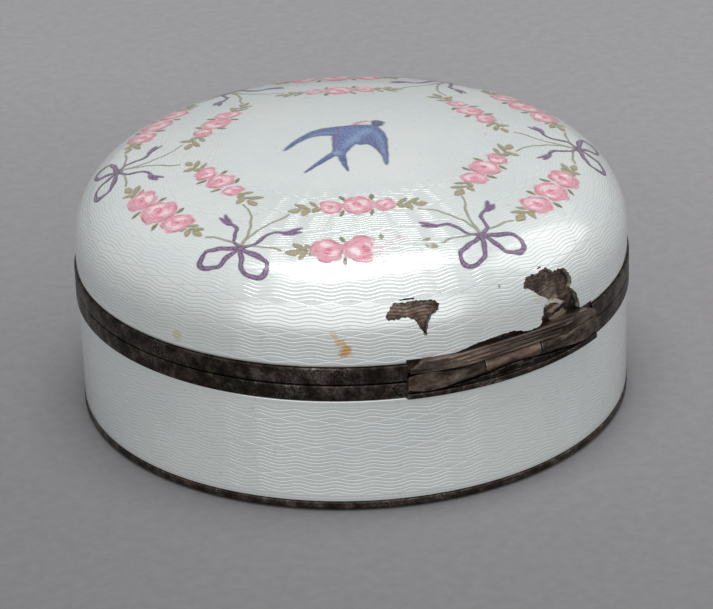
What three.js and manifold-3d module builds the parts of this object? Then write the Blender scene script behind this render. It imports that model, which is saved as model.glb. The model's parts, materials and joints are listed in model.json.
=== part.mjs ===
// Round hinged pill box in enamelled silver.
// Millimetres, +Z up. The origin is the centre of the circle it stands on.
// The hinge is at +Y and the thumb lip at -Y.

import * as THREE from 'three';
import { mergeVertices } from 'three/addons/utils/BufferGeometryUtils.js';
import Module from 'manifold-3d';

const wasm = await Module();
wasm.setup();

// ---------------------------------------------------------------- dimensions

const SEGMENTS = 60;             // facets round the box
const FIT_GAP = 0.03;            // gap left between two pieces that touch

const RIM_RADIUS = 22.5;         // outside of both silver rims
const ENAMEL_RADIUS = 22.33;     // outside of the enamel
const ENAMEL_THICKNESS = 0.37;
const METAL_THICKNESS = 0.41;    // silver sheet under the enamel

const FOOT_TOP = 0.85;           // height of the foot ring
const FOOT_INNER = 20.7;
const PLATE_THICKNESS = 0.42;    // bottom plate
const BAND_BOTTOM = 9.45;        // lower edge of the base rim
const BAND_TOP = 12.2;           // upper edge of the lid rim
const SPLIT_HEIGHT = 10.8;       // where lid and base part
const SPLIT_GAP = 0.1;
const EDGE_BEVEL = 0.12;

const BEZEL_OUTER = 21.3;        // collar that the lid closes over
const BEZEL_THICKNESS = 0.5;
const BEZEL_BOTTOM = 7.4;
const BEZEL_RISE = 1.2;          // how far the collar stands above the split
const LID_RIM_INNER = 21.52;

const DOME_STRAIGHT = 1.9;       // upright part of the lid above its rim
const SHOULDER_RADIUS = 6.0;     // rounded shoulder of the dome
const CROWN_RADIUS = 80;         // shallow crown of the dome
const SHOULDER_STEPS = 6;
const CROWN_STEPS = 4;

const HINGE_Y = 21.65;           // hinge axis, parallel to X, let into the rims
const HINGE_Z = SPLIT_HEIGHT;
const HINGE_HALF = 8.9;          // half the length of the hinge tube
const HINGE_ROUND = 22.9;        // radius its ends are filed to
const SEAT_TOP = 9.9;            // the base rim is thicker below this, under the tube
const KNUCKLE_RADIUS = 0.75;
const KNUCKLE_GAP = 0.1;
const KNUCKLE_SEGMENTS = 24;
const JOINT_X = 2.65;            // where the middle knuckle meets its neighbours
const BASE_BORE = 0.38;
const LID_BORE = 0.43;
const PIN_RADIUS = 0.35;
const PIN_HALF = 4.9;
const PIN_SEGMENTS = 16;
const NOTCH_RADIUS = 0.9;        // groove in the rims for the tube

const LEAF_HALF = 8.7;           // straight strip above the tube, set in the lid rim
const LEAF_CLEAR = 0.82;         // its height above the hinge axis
const LEAF_FRONT = 22.5;
const LEAF_TOP_FRONT = 22.12;
const LEAF_TOP = 12.52;
const LEAF_RIDGES = 3;
const RIDGE_DEPTH = 0.1;
const COLLAR_OPENING = 9.7;      // height above which the collar stops at the hinge

const LIP_HALF_WIDTH = 3.2;
const LIP_REACH = 22.9;
const LIP_THICKNESS = 0.7;
const LIP_STEPS = 12;

// ----------------------------------------------------------------- materials

const colours = {
  enamel: { color: 0xe3e9e6, roughness: 0.12, metalness: 0.0 },
  silver: { color: 0x4d4742, roughness: 0.42, metalness: 1.0 },
  lining: { color: 0x9b948a, roughness: 0.38, metalness: 1.0 },
};

function material(name) {
  return new THREE.MeshStandardMaterial(colours[name]);
}

// ----------------------------------------------------------- closed geometry

function signedVolume(position, index) {
  const a = new THREE.Vector3();
  const b = new THREE.Vector3();
  const c = new THREE.Vector3();
  let sum = 0;
  for (let i = 0; i < index.length; i += 3) {
    a.fromBufferAttribute(position, index[i]);
    b.fromBufferAttribute(position, index[i + 1]);
    c.fromBufferAttribute(position, index[i + 2]);
    sum += a.dot(b.cross(c)) / 6;
  }
  return sum;
}

// Keeps position only, merges shared vertices, drops empty triangles and
// turns the faces outward.
function closeUp(source) {
  const bare = source.clone();
  bare.deleteAttribute('normal');
  bare.deleteAttribute('uv');
  const merged = mergeVertices(bare);
  const old = merged.index.array;
  const kept = [];
  for (let i = 0; i < old.length; i += 3) {
    const [a, b, c] = [old[i], old[i + 1], old[i + 2]];
    if (a !== b && b !== c && c !== a) kept.push(a, b, c);
  }
  if (signedVolume(merged.attributes.position, kept) < 0) kept.reverse();
  merged.setIndex(kept);
  return merged;
}

function toSolid(geometry) {
  const closed = closeUp(geometry);
  return new wasm.Manifold(new wasm.Mesh({
    numProp: 3,
    vertProperties: new Float32Array(closed.attributes.position.array),
    triVerts: new Uint32Array(closed.index.array),
  }));
}

function fromSolid(solid) {
  const mesh = solid.getMesh();
  const geometry = new THREE.BufferGeometry();
  geometry.setAttribute('position', new THREE.BufferAttribute(mesh.vertProperties, 3));
  geometry.setIndex(new THREE.BufferAttribute(mesh.triVerts, 1));
  return geometry;
}

function cut(geometry, ...tools) {
  let solid = toSolid(geometry);
  for (const tool of tools) solid = solid.subtract(toSolid(tool));
  return fromSolid(solid);
}

function common(geometry, tool) {
  return fromSolid(toSolid(geometry).intersect(toSolid(tool)));
}

function join(geometry, other) {
  return fromSolid(toSolid(geometry).add(toSolid(other)));
}

// -------------------------------------------------------------- basic shapes

// Turns a profile of [radius, height] points round Z.
function turned(profile, segments = SEGMENTS) {
  const points = profile.map(([r, z]) => new THREE.Vector2(r, z));
  const first = points[0];
  const last = points[points.length - 1];
  if (first.x > 0 || last.x > 0) points.push(first.clone());
  return new THREE.LatheGeometry(points, segments).rotateX(Math.PI / 2);
}

// A ring of rectangular section with its outer corners bevelled.
function band(inner, outer, bottom, top, bevel = EDGE_BEVEL) {
  return turned([
    [inner, bottom],
    [outer - bevel, bottom],
    [outer, bottom + bevel],
    [outer, top - bevel],
    [outer - bevel, top],
    [inner, top],
  ]);
}

// Turns a profile of [radius, x] points round the hinge axis.
function alongHinge(profile, segments = KNUCKLE_SEGMENTS) {
  return turned(profile, segments).rotateY(Math.PI / 2).translate(0, HINGE_Y, HINGE_Z);
}

function rod(radius, from, to, segments) {
  return alongHinge([[0, from], [radius, from], [radius, to], [0, to]], segments);
}

function drum(radius, bottom = -1, top = 30) {
  return turned([[0, bottom], [radius, bottom], [radius, top], [0, top]]);
}

function block(halfWidth, y0, y1, z0, z1) {
  const box = new THREE.BoxGeometry(2 * halfWidth, y1 - y0, z1 - z0);
  return box.translate(0, (y0 + y1) / 2, (z0 + z1) / 2);
}

function knuckleNotch() {
  const reach = HINGE_HALF + KNUCKLE_GAP;
  return rod(NOTCH_RADIUS, -reach, reach, KNUCKLE_SEGMENTS);
}

// ---------------------------------------------------------------- the pieces

function footRing() {
  return turned([
    [FOOT_INNER, 0],
    [22.18, 0],
    [22.38, 0.2],
    [22.38, FOOT_TOP],
    [FOOT_INNER, FOOT_TOP],
  ]);
}

function basePlate() {
  const bottom = FOOT_TOP + FIT_GAP;
  const top = bottom + PLATE_THICKNESS;
  return turned([[0, bottom], [BEZEL_OUTER, bottom], [BEZEL_OUTER, top], [0, top]]);
}

function baseWall() {
  const outer = ENAMEL_RADIUS - ENAMEL_THICKNESS - FIT_GAP;
  const inner = BEZEL_OUTER + FIT_GAP;
  const bottom = FOOT_TOP + FIT_GAP;
  const top = BAND_BOTTOM - FIT_GAP;
  return turned([[inner, bottom], [outer, bottom], [outer, top], [inner, top]]);
}

function baseEnamel() {
  const inner = ENAMEL_RADIUS - ENAMEL_THICKNESS;
  return band(inner, ENAMEL_RADIUS, FOOT_TOP + FIT_GAP, BAND_BOTTOM - FIT_GAP);
}

// The rim, thicker under the hinge tube and grooved for it.
function baseRim() {
  const top = SPLIT_HEIGHT - SPLIT_GAP / 2;
  const inner = BEZEL_OUTER + FIT_GAP;
  const ring = band(inner, RIM_RADIUS, BAND_BOTTOM, top);
  const thick = band(inner, HINGE_ROUND, BAND_BOTTOM, SEAT_TOP);
  const seat = common(thick, block(HINGE_HALF, 10, 24, 0, 30));
  return cut(join(ring, seat), knuckleNotch());
}

function baseBezel() {
  const inner = BEZEL_OUTER - BEZEL_THICKNESS;
  const ring = band(inner, BEZEL_OUTER, BEZEL_BOTTOM, SPLIT_HEIGHT + BEZEL_RISE);
  return cut(ring, block(HINGE_HALF + 0.6, 10, 24, COLLAR_OPENING, 14));
}

function lidRim() {
  const bottom = SPLIT_HEIGHT + SPLIT_GAP / 2;
  const ring = band(LID_RIM_INNER, RIM_RADIUS, bottom, BAND_TOP);
  const opening = block(LEAF_HALF + FIT_GAP, 10, 24, bottom - 1, BAND_TOP + 1);
  return cut(ring, opening, knuckleNotch());
}

// Points of the dome from its lower edge to the axis, a distance inside the
// enamel's outer surface.
function domePoints(inset) {
  const shoulderX = ENAMEL_RADIUS - SHOULDER_RADIUS;
  const shoulderZ = BAND_TOP + DOME_STRAIGHT;
  const span = CROWN_RADIUS - SHOULDER_RADIUS;
  const rise = Math.sqrt(span ** 2 - shoulderX ** 2);
  const meet = Math.acos(shoulderX / span);
  const points = [[ENAMEL_RADIUS - inset, BAND_TOP + FIT_GAP]];
  for (let i = 0; i <= SHOULDER_STEPS; i++) {
    const angle = meet * (i / SHOULDER_STEPS);
    const radius = SHOULDER_RADIUS - inset;
    points.push([
      shoulderX + radius * Math.cos(angle),
      shoulderZ + radius * Math.sin(angle),
    ]);
  }
  for (let i = 1; i <= CROWN_STEPS; i++) {
    const angle = meet + (Math.PI / 2 - meet) * (i / CROWN_STEPS);
    const radius = CROWN_RADIUS - inset;
    const x = i === CROWN_STEPS ? 0 : radius * Math.cos(angle);
    points.push([x, shoulderZ - rise + radius * Math.sin(angle)]);
  }
  return points;
}

function domeShell(outerInset, innerInset) {
  const outside = domePoints(outerInset).reverse();
  return turned([...outside, ...domePoints(innerInset)]);
}

// The enamel stops a little higher over the hinge strip.
function lidEnamel() {
  const top = LEAF_TOP + FIT_GAP;
  return cut(domeShell(0, ENAMEL_THICKNESS), block(LEAF_HALF + FIT_GAP, 10, 24, 11, top));
}

function lidShell() {
  const start = ENAMEL_THICKNESS + FIT_GAP;
  return domeShell(start, start + METAL_THICKNESS);
}

// A straight strip with lengthwise ridges on its sloping face, set into the
// lid rim above the tube and filed round at its ends.
function hingeLeaf() {
  const bottom = HINGE_Z + LEAF_CLEAR;
  const step = 1 / LEAF_RIDGES;
  const slope = (t, depth) => [
    LEAF_FRONT + (LEAF_TOP_FRONT - LEAF_FRONT) * t - depth,
    bottom + (LEAF_TOP - bottom) * t,
  ];
  const shape = new THREE.Shape();
  shape.moveTo(20, bottom);
  shape.lineTo(...slope(0, RIDGE_DEPTH));
  for (let i = 0; i < LEAF_RIDGES; i++) {
    shape.lineTo(...slope((i + 0.3) * step, 0));
    shape.lineTo(...slope((i + 0.7) * step, 0));
    shape.lineTo(...slope((i + 1) * step, RIDGE_DEPTH));
  }
  shape.lineTo(20, LEAF_TOP);
  shape.closePath();
  const strip = new THREE.ExtrudeGeometry(shape, { depth: 2 * LEAF_HALF, bevelEnabled: false });
  strip.translate(0, 0, -LEAF_HALF);
  strip.applyMatrix4(new THREE.Matrix4().makeBasis(
    new THREE.Vector3(0, 1, 0),
    new THREE.Vector3(0, 0, 1),
    new THREE.Vector3(1, 0, 0),
  ));
  const inner = LID_RIM_INNER;
  const shell = ENAMEL_RADIUS - ENAMEL_THICKNESS;
  const inside = turned([[0, -1], [inner, -1], [inner, BAND_TOP], [shell, BAND_TOP], [shell, 30], [0, 30]]);
  return cut(common(strip, drum(HINGE_ROUND)), inside);
}

function lidKnuckle() {
  const x = JOINT_X - KNUCKLE_GAP / 2;
  return alongHinge([[LID_BORE, -x], [KNUCKLE_RADIUS, -x], [KNUCKLE_RADIUS, x], [LID_BORE, x]]);
}

// A blind tube, filed to the round of the rims at its outer end.
function baseKnuckle(side) {
  const joint = JOINT_X + KNUCKLE_GAP / 2;
  const blind = PIN_HALF + KNUCKLE_GAP;
  const profile = [
    [0, blind],
    [BASE_BORE, blind],
    [BASE_BORE, joint],
    [KNUCKLE_RADIUS, joint],
    [KNUCKLE_RADIUS, HINGE_HALF],
    [0, HINGE_HALF],
  ];
  const tube = alongHinge(profile.map(([r, x]) => [r, side * x]));
  return common(tube, drum(HINGE_ROUND));
}

function hingePin() {
  return rod(PIN_RADIUS, -PIN_HALF, PIN_HALF, PIN_SEGMENTS);
}

function thumbLip() {
  const shape = new THREE.Shape();
  const base = RIM_RADIUS - 0.5;
  for (let i = 0; i <= LIP_STEPS; i++) {
    const x = LIP_HALF_WIDTH * (1 - (2 * i) / LIP_STEPS);
    const bulge = Math.cos((Math.PI / 2) * (x / LIP_HALF_WIDTH));
    const y = -(base + (LIP_REACH - base) * bulge);
    if (i === 0) shape.moveTo(x, y);
    else shape.lineTo(x, y);
  }
  shape.lineTo(-LIP_HALF_WIDTH, -(base - 0.4));
  shape.lineTo(LIP_HALF_WIDTH, -(base - 0.4));
  shape.closePath();
  const tab = new THREE.ExtrudeGeometry(shape, { depth: LIP_THICKNESS, bevelEnabled: false });
  tab.translate(0, 0, SPLIT_HEIGHT + 0.15);
  return cut(tab, drum(RIM_RADIUS + FIT_GAP));
}

// --------------------------------------------------------------- the assembly

const pillBox = new THREE.Group();
const base = new THREE.Group();
const lid = new THREE.Group();
pillBox.add(base, lid);

function add(parent, name, geometry, look) {
  const mesh = new THREE.Mesh(closeUp(geometry), material(look));
  mesh.name = name;
  parent.add(mesh);
}

add(base, 'foot_ring', footRing(), 'silver');
add(base, 'base_plate', basePlate(), 'lining');
add(base, 'base_wall', baseWall(), 'lining');
add(base, 'base_enamel', baseEnamel(), 'enamel');
add(base, 'base_rim', baseRim(), 'silver');
add(base, 'base_bezel', baseBezel(), 'lining');
add(lid, 'lid_rim', lidRim(), 'silver');
add(lid, 'lid_shell', lidShell(), 'lining');
add(lid, 'lid_enamel', lidEnamel(), 'enamel');
add(lid, 'thumb_lip', thumbLip(), 'silver');

add(lid, 'lid_hinge_leaf', hingeLeaf(), 'silver');
add(lid, 'lid_knuckle', lidKnuckle(), 'silver');
add(base, 'base_knuckle_left', baseKnuckle(-1), 'silver');
add(base, 'base_knuckle_right', baseKnuckle(1), 'silver');
add(base, 'hinge_pin', hingePin(), 'lining');

export default pillBox;
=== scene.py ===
"""Looks of a round enamelled pill box with a painted, hinged lid."""

import json
import logging
import math
from collections.abc import Callable, Sequence
from dataclasses import dataclass, field
from enum import Enum
from typing import Any

import bpy
import numpy as np
from mathutils import Matrix, Vector
from mathutils.geometry import delaunay_2d_cdt

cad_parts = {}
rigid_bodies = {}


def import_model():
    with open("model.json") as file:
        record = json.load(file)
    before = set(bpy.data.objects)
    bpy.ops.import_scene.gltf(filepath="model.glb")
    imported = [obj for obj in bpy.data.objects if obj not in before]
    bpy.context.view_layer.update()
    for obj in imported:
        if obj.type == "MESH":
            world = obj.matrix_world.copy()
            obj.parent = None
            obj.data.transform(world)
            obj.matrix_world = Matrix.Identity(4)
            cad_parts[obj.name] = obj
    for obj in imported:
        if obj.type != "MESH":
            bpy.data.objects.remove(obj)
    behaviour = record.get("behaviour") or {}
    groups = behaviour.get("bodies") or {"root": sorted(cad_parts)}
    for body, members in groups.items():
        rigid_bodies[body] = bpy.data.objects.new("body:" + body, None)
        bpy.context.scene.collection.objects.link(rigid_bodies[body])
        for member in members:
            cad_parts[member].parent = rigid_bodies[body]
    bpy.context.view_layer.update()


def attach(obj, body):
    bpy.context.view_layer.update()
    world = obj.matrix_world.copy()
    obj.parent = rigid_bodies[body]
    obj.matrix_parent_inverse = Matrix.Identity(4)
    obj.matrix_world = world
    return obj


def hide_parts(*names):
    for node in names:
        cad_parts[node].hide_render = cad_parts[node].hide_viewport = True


LOG = logging.getLogger("pill_box")
Socket = bpy.types.NodeSocket
Node = bpy.types.Node
Thing = bpy.types.Object

MM = 0.001
TAU = 2 * math.pi
FAR_AWAY = 1e9  # distance from a line before any is measured
VIEW_HEADING = 147.1  # turn of the camera about the upright axis, in degrees
FAINTEST = 0.015  # cover below which nothing is painted
WALL_LOW = 0.75  # height of the lower edge of the wall and its enamel

Point = tuple[float, float]
Colour = tuple[float, float, float]


class Body(Enum):
    """The two rigid halves of the box."""

    BASE = "base"
    LID = "lid"


class Slot(Enum):
    """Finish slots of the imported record."""

    SILVER = "silver"
    LINING = "lining"
    PIN = "pin"
    ENAMEL = "enamel"


# ------------------------------------------------------------------ small help


def linear(code: str) -> Colour:
    """Turns a six-digit display colour into linear light.

    Args:
        code: the colour, such as "c8d2ce".

    Returns:
        Red, green and blue in linear light.
    """
    parts = [int(code[i : i + 2], 16) / 255 for i in (0, 2, 4)]
    return tuple(p / 12.92 if p <= 0.04045 else ((p + 0.055) / 1.055) ** 2.4 for p in parts)


def smooth(low: float, high: float, x: np.ndarray) -> np.ndarray:
    """Smooth step of x from 0 at low to 1 at high."""
    t = np.clip((x - low) / (high - low), 0, 1)
    return t * t * (3 - 2 * t)


# ------------------------------------------------------------------- mesh tools


def build_object(
    name: str, verts: np.ndarray, faces: Sequence[Sequence[int]], sharp: float = 35.0
) -> Thing:
    """Makes a smooth-shaded mesh object from points in millimetres.

    Args:
        name: name of the new object.
        verts: points, one row each, in millimetres.
        faces: corner indices of each face, seen anticlockwise from outside.
        sharp: edges that turn by more degrees than this stay crisp.

    Returns:
        The object, linked to the scene.
    """
    mesh = bpy.data.meshes.new(name)
    mesh.from_pydata((np.asarray(verts) * MM).tolist(), [], [tuple(int(i) for i in f) for f in faces])
    mesh.update()
    mesh.shade_smooth()
    mesh.set_sharp_from_angle(angle=math.radians(sharp))
    thing = bpy.data.objects.new(name, mesh)
    bpy.context.scene.collection.objects.link(thing)
    return thing


def applied(thing: Thing) -> Thing:
    """Bakes an object's modifiers into a plain mesh and removes them."""
    graph = bpy.context.evaluated_depsgraph_get()
    mesh = bpy.data.meshes.new_from_object(thing.evaluated_get(graph))
    old = thing.data
    thing.modifiers.clear()
    thing.data = mesh
    mesh.name = thing.name
    if old.users == 0:
        bpy.data.meshes.remove(old)
    return thing


class Cut(Enum):
    """Ways of combining two solids."""

    REMOVE = "DIFFERENCE"
    KEEP_COMMON = "INTERSECT"
    JOIN = "UNION"


def combine(thing: Thing, tools: Sequence[Thing], how: Cut, sharp: float = 35.0) -> Thing:
    """Cuts or joins a solid with others, which are used up.

    Args:
        thing: the solid that stays.
        tools: the solids it is combined with.
        how: the operation.
        sharp: edges that turn by more degrees than this stay crisp.

    Returns:
        The finished solid.
    """
    for tool in tools:
        step = thing.modifiers.new("cut", "BOOLEAN")
        step.operation = how.value
        step.solver = "MANIFOLD"
        step.object = tool
    applied(thing)
    for tool in tools:
        bpy.data.objects.remove(tool)
    thing.data.materials.clear()
    thing.data.shade_smooth()
    thing.data.set_sharp_from_angle(angle=math.radians(sharp))
    return thing


def softened(corners: Sequence[Point], radius: float, steps: int = 4) -> list[Point]:
    """Rounds every corner of a closed outline.

    Args:
        corners: the outline's corners in order.
        radius: rounding radius, less where an edge is short.
        steps: points along each rounding, less one.

    Returns:
        The rounded outline.
    """
    out: list[Point] = []
    pts = [np.array(c, float) for c in corners]
    for i, here in enumerate(pts):
        before, after = pts[i - 1], pts[(i + 1) % len(pts)]
        if here[0] == 0:
            out.append((float(here[0]), float(here[1])))
            continue
        reach = min(radius, 0.45 * np.linalg.norm(before - here), 0.45 * np.linalg.norm(after - here))
        a = here + (before - here) / np.linalg.norm(before - here) * reach
        b = here + (after - here) / np.linalg.norm(after - here) * reach
        for k in range(steps + 1):
            t = k / steps
            p = (1 - t) ** 2 * a + 2 * t * (1 - t) * here + t * t * b
            out.append((float(p[0]), float(p[1])))
    return out


def turned(name: str, profile: Sequence[Point], segments: int = 288, sharp: float = 35.0) -> Thing:
    """Turns a closed profile round the Z axis.

    Args:
        name: name of the new object.
        profile: radius and height of each point. It closes on itself, or starts and ends on the axis.
        segments: divisions round the axis.
        sharp: edges that turn by more degrees than this stay crisp.

    Returns:
        A closed solid with its faces outward.
    """
    pts = [tuple(p) for p in profile]
    area = sum(a[0] * b[1] - b[0] * a[1] for a, b in zip(pts, pts[1:] + pts[:1]))
    if area < 0:
        pts.reverse()
    polar = pts[0][0] == 0 and pts[-1][0] == 0
    angles = np.arange(segments) * TAU / segments
    verts: list[Sequence[float]] = []
    rows: list[list[int]] = []
    for r, z in pts:
        if r == 0:
            rows.append([len(verts)] * segments)
            verts.append((0, 0, z))
        else:
            rows.append(list(range(len(verts), len(verts) + segments)))
            verts.extend(np.stack([r * np.cos(angles), r * np.sin(angles), np.full(segments, z)], 1))
    faces = []
    pairs = list(zip(rows, rows[1:])) + ([] if polar else [(rows[-1], rows[0])])
    for low, high in pairs:
        for i in range(segments):
            j = (i + 1) % segments
            quad = [low[i], low[j], high[j], high[i]]
            faces.append(list(dict.fromkeys(quad)))
    return build_object(name, np.array(verts, float), faces, sharp)


def turned_along_x(name: str, profile: Sequence[Point], axis: Point, segments: int = 64) -> Thing:
    """Turns a profile of radius and x round a line along X at the given y and z."""
    thing = turned(name, profile, segments)
    lay = Matrix.Rotation(math.pi / 2, 4, "Y")
    thing.data.transform(Matrix.Translation(Vector((0, axis[0], axis[1])) * MM) @ lay)
    return thing


def block(low: Sequence[float], high: Sequence[float]) -> Thing:
    """A box between two corners, used as a cutting tool."""
    x0, y0, z0 = low
    x1, y1, z1 = high
    verts = np.array([(x, y, z) for z in (z0, z1) for y in (y0, y1) for x in (x0, x1)], float)
    faces = [(0, 2, 3, 1), (4, 5, 7, 6), (0, 1, 5, 4), (2, 6, 7, 3), (0, 4, 6, 2), (1, 3, 7, 5)]
    return build_object("tool", verts, faces)


def drum(radius: float, low: float = -1.0, high: float = 30.0) -> Thing:
    """An upright cylinder, used as a cutting tool."""
    return turned("tool", [(0, low), (radius, low), (radius, high), (0, high)])


def extruded_along_x(name: str, outline: Sequence[Point], half: float, steps: int = 1) -> Thing:
    """Extrudes an outline of y and z points along X, from minus half to half.

    Args:
        name: name of the new object.
        outline: closed outline of y and z.
        half: half of the length.
        steps: divisions along the length.

    Returns:
        A closed solid with its faces outward.
    """
    pts = list(outline)
    area = sum(a[0] * b[1] - b[0] * a[1] for a, b in zip(pts, pts[1:] + pts[:1]))
    if area < 0:
        pts.reverse()
    n = len(pts)
    verts = [(x, y, z) for x in np.linspace(-half, half, steps + 1) for y, z in pts]
    faces: list[list[int]] = [list(range(n))[::-1], [steps * n + i for i in range(n)]]
    for s in range(steps):
        for i in range(n):
            j = (i + 1) % n
            faces.append([s * n + i, s * n + j, (s + 1) * n + j, (s + 1) * n + i])
    return build_object(name, np.array(verts), faces)


# ------------------------------------------------------------- shape of the lid


@dataclass(frozen=True)
class Dome:
    """Cross-section of the lid's enamel, from its lower edge over a round shoulder to a shallow crown."""

    radius: float = 22.33
    foot: float = 12.23
    upright: float = 14.1
    shoulder: float = 6.0
    crown: float = 80.0

    @property
    def centre_x(self) -> float:
        """Radius at which the shoulder's arc is centred."""
        return self.radius - self.shoulder

    @property
    def meet(self) -> float:
        """Angle above level at which shoulder and crown meet."""
        return math.acos(self.centre_x / (self.crown - self.shoulder))

    @property
    def rise(self) -> float:
        """Depth of the crown's centre below the shoulder's centre."""
        return math.sqrt((self.crown - self.shoulder) ** 2 - self.centre_x**2)

    @property
    def breaks(self) -> tuple[float, float, float]:
        """Arc lengths at which the upright, the shoulder and the crown end."""
        first = self.upright - self.foot
        second = first + self.shoulder * self.meet
        return first, second, second + self.crown * (math.pi / 2 - self.meet)

    def at(self, arc: np.ndarray, lift: float = 0.0) -> tuple[np.ndarray, np.ndarray]:
        """Radius and height at an arc length above the lower edge, lifted off the surface."""
        first, second, _ = self.breaks
        arc = np.asarray(arc, float)
        a = (arc - first) / self.shoulder
        b = self.meet + (arc - second) / self.crown
        r = np.where(
            arc < first,
            self.radius + lift,
            np.where(
                arc < second, self.centre_x + (self.shoulder + lift) * np.cos(a),
                (self.crown + lift) * np.cos(b),
            ),
        )
        z = np.where(
            arc < first,
            self.foot + arc,
            np.where(
                arc < second,
                self.upright + (self.shoulder + lift) * np.sin(a),
                self.upright - self.rise + (self.crown + lift) * np.sin(b),
            ),
        )
        return r, z

    def arc_of(self, r: np.ndarray, z: np.ndarray) -> np.ndarray:
        """Arc length of points on or near the surface."""
        first, second, _ = self.breaks
        a = np.arctan2(z - self.upright, np.maximum(r - self.centre_x, 1e-6))
        b = np.arctan2(z - self.upright + self.rise, r)
        on_crown = b > self.meet
        arc = np.where(z < self.upright, z - self.foot, first + self.shoulder * np.clip(a, 0, self.meet))
        return np.where(on_crown & (z > self.upright), second + self.crown * (b - self.meet), arc)

    def place(self, angle: np.ndarray, arc: np.ndarray, lift: float = 0.0) -> np.ndarray:
        """Points at angles in radians and arc lengths, in millimetres."""
        r, z = self.at(arc, lift)
        return np.stack([r * np.cos(angle), r * np.sin(angle), z], -1)

    def outline(self, lift: float, fine: bool = True) -> list[Point]:
        """Radius and height from the lower edge to the pole."""
        first, second, last = self.breaks
        bends, tops = (40, 40) if fine else (20, 16)
        arcs = np.concatenate([
            np.linspace(0, first, 8, endpoint=False),
            np.linspace(first, second, bends, endpoint=False),
            np.linspace(second, last, tops),
        ])
        r, z = self.at(arcs, lift)
        r[-1] = 0.0
        return [(float(a), float(b)) for a, b in zip(r, z)]


DOME = Dome()


def store_arc(thing: Thing, measure: Callable[[np.ndarray, np.ndarray], np.ndarray]) -> None:
    """Keeps each point's distance along the turned profile, in millimetres, as the attribute "arc"."""
    mesh = thing.data
    co = np.empty(len(mesh.vertices) * 3, np.float32)
    mesh.vertices.foreach_get("co", co)
    co = co.reshape(-1, 3) / MM
    arc = measure(np.hypot(co[:, 0], co[:, 1]), co[:, 2])
    layer = mesh.attributes.new("arc", "FLOAT", "POINT")
    layer.data.foreach_set("value", arc.astype(np.float32))


# -------------------------------------------------------------------- painting


@dataclass
class Wobble:
    """Slow uneven drift of a hand-held brush."""

    seed: int
    size: float = 0.06
    phases: np.ndarray = field(init=False)

    def __post_init__(self) -> None:
        """Draws the phases from the seed."""
        self.phases = np.random.default_rng(self.seed).uniform(0, TAU, (2, 4))

    def shift(self, x: np.ndarray, y: np.ndarray) -> tuple[np.ndarray, np.ndarray]:
        """Moves points by a few hundredths of a millimetre."""
        p = self.phases
        dx = np.sin(2.1 * x + p[0, 0]) * np.cos(1.7 * y + p[0, 1]) + 0.6 * np.sin(4.3 * y + 3.1 * x + p[0, 2])
        dy = np.sin(1.9 * y + p[1, 0]) * np.cos(2.3 * x + p[1, 1]) + 0.6 * np.sin(3.7 * x - 4.1 * y + p[1, 2])
        return x + self.size * dx, y + self.size * dy


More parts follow.
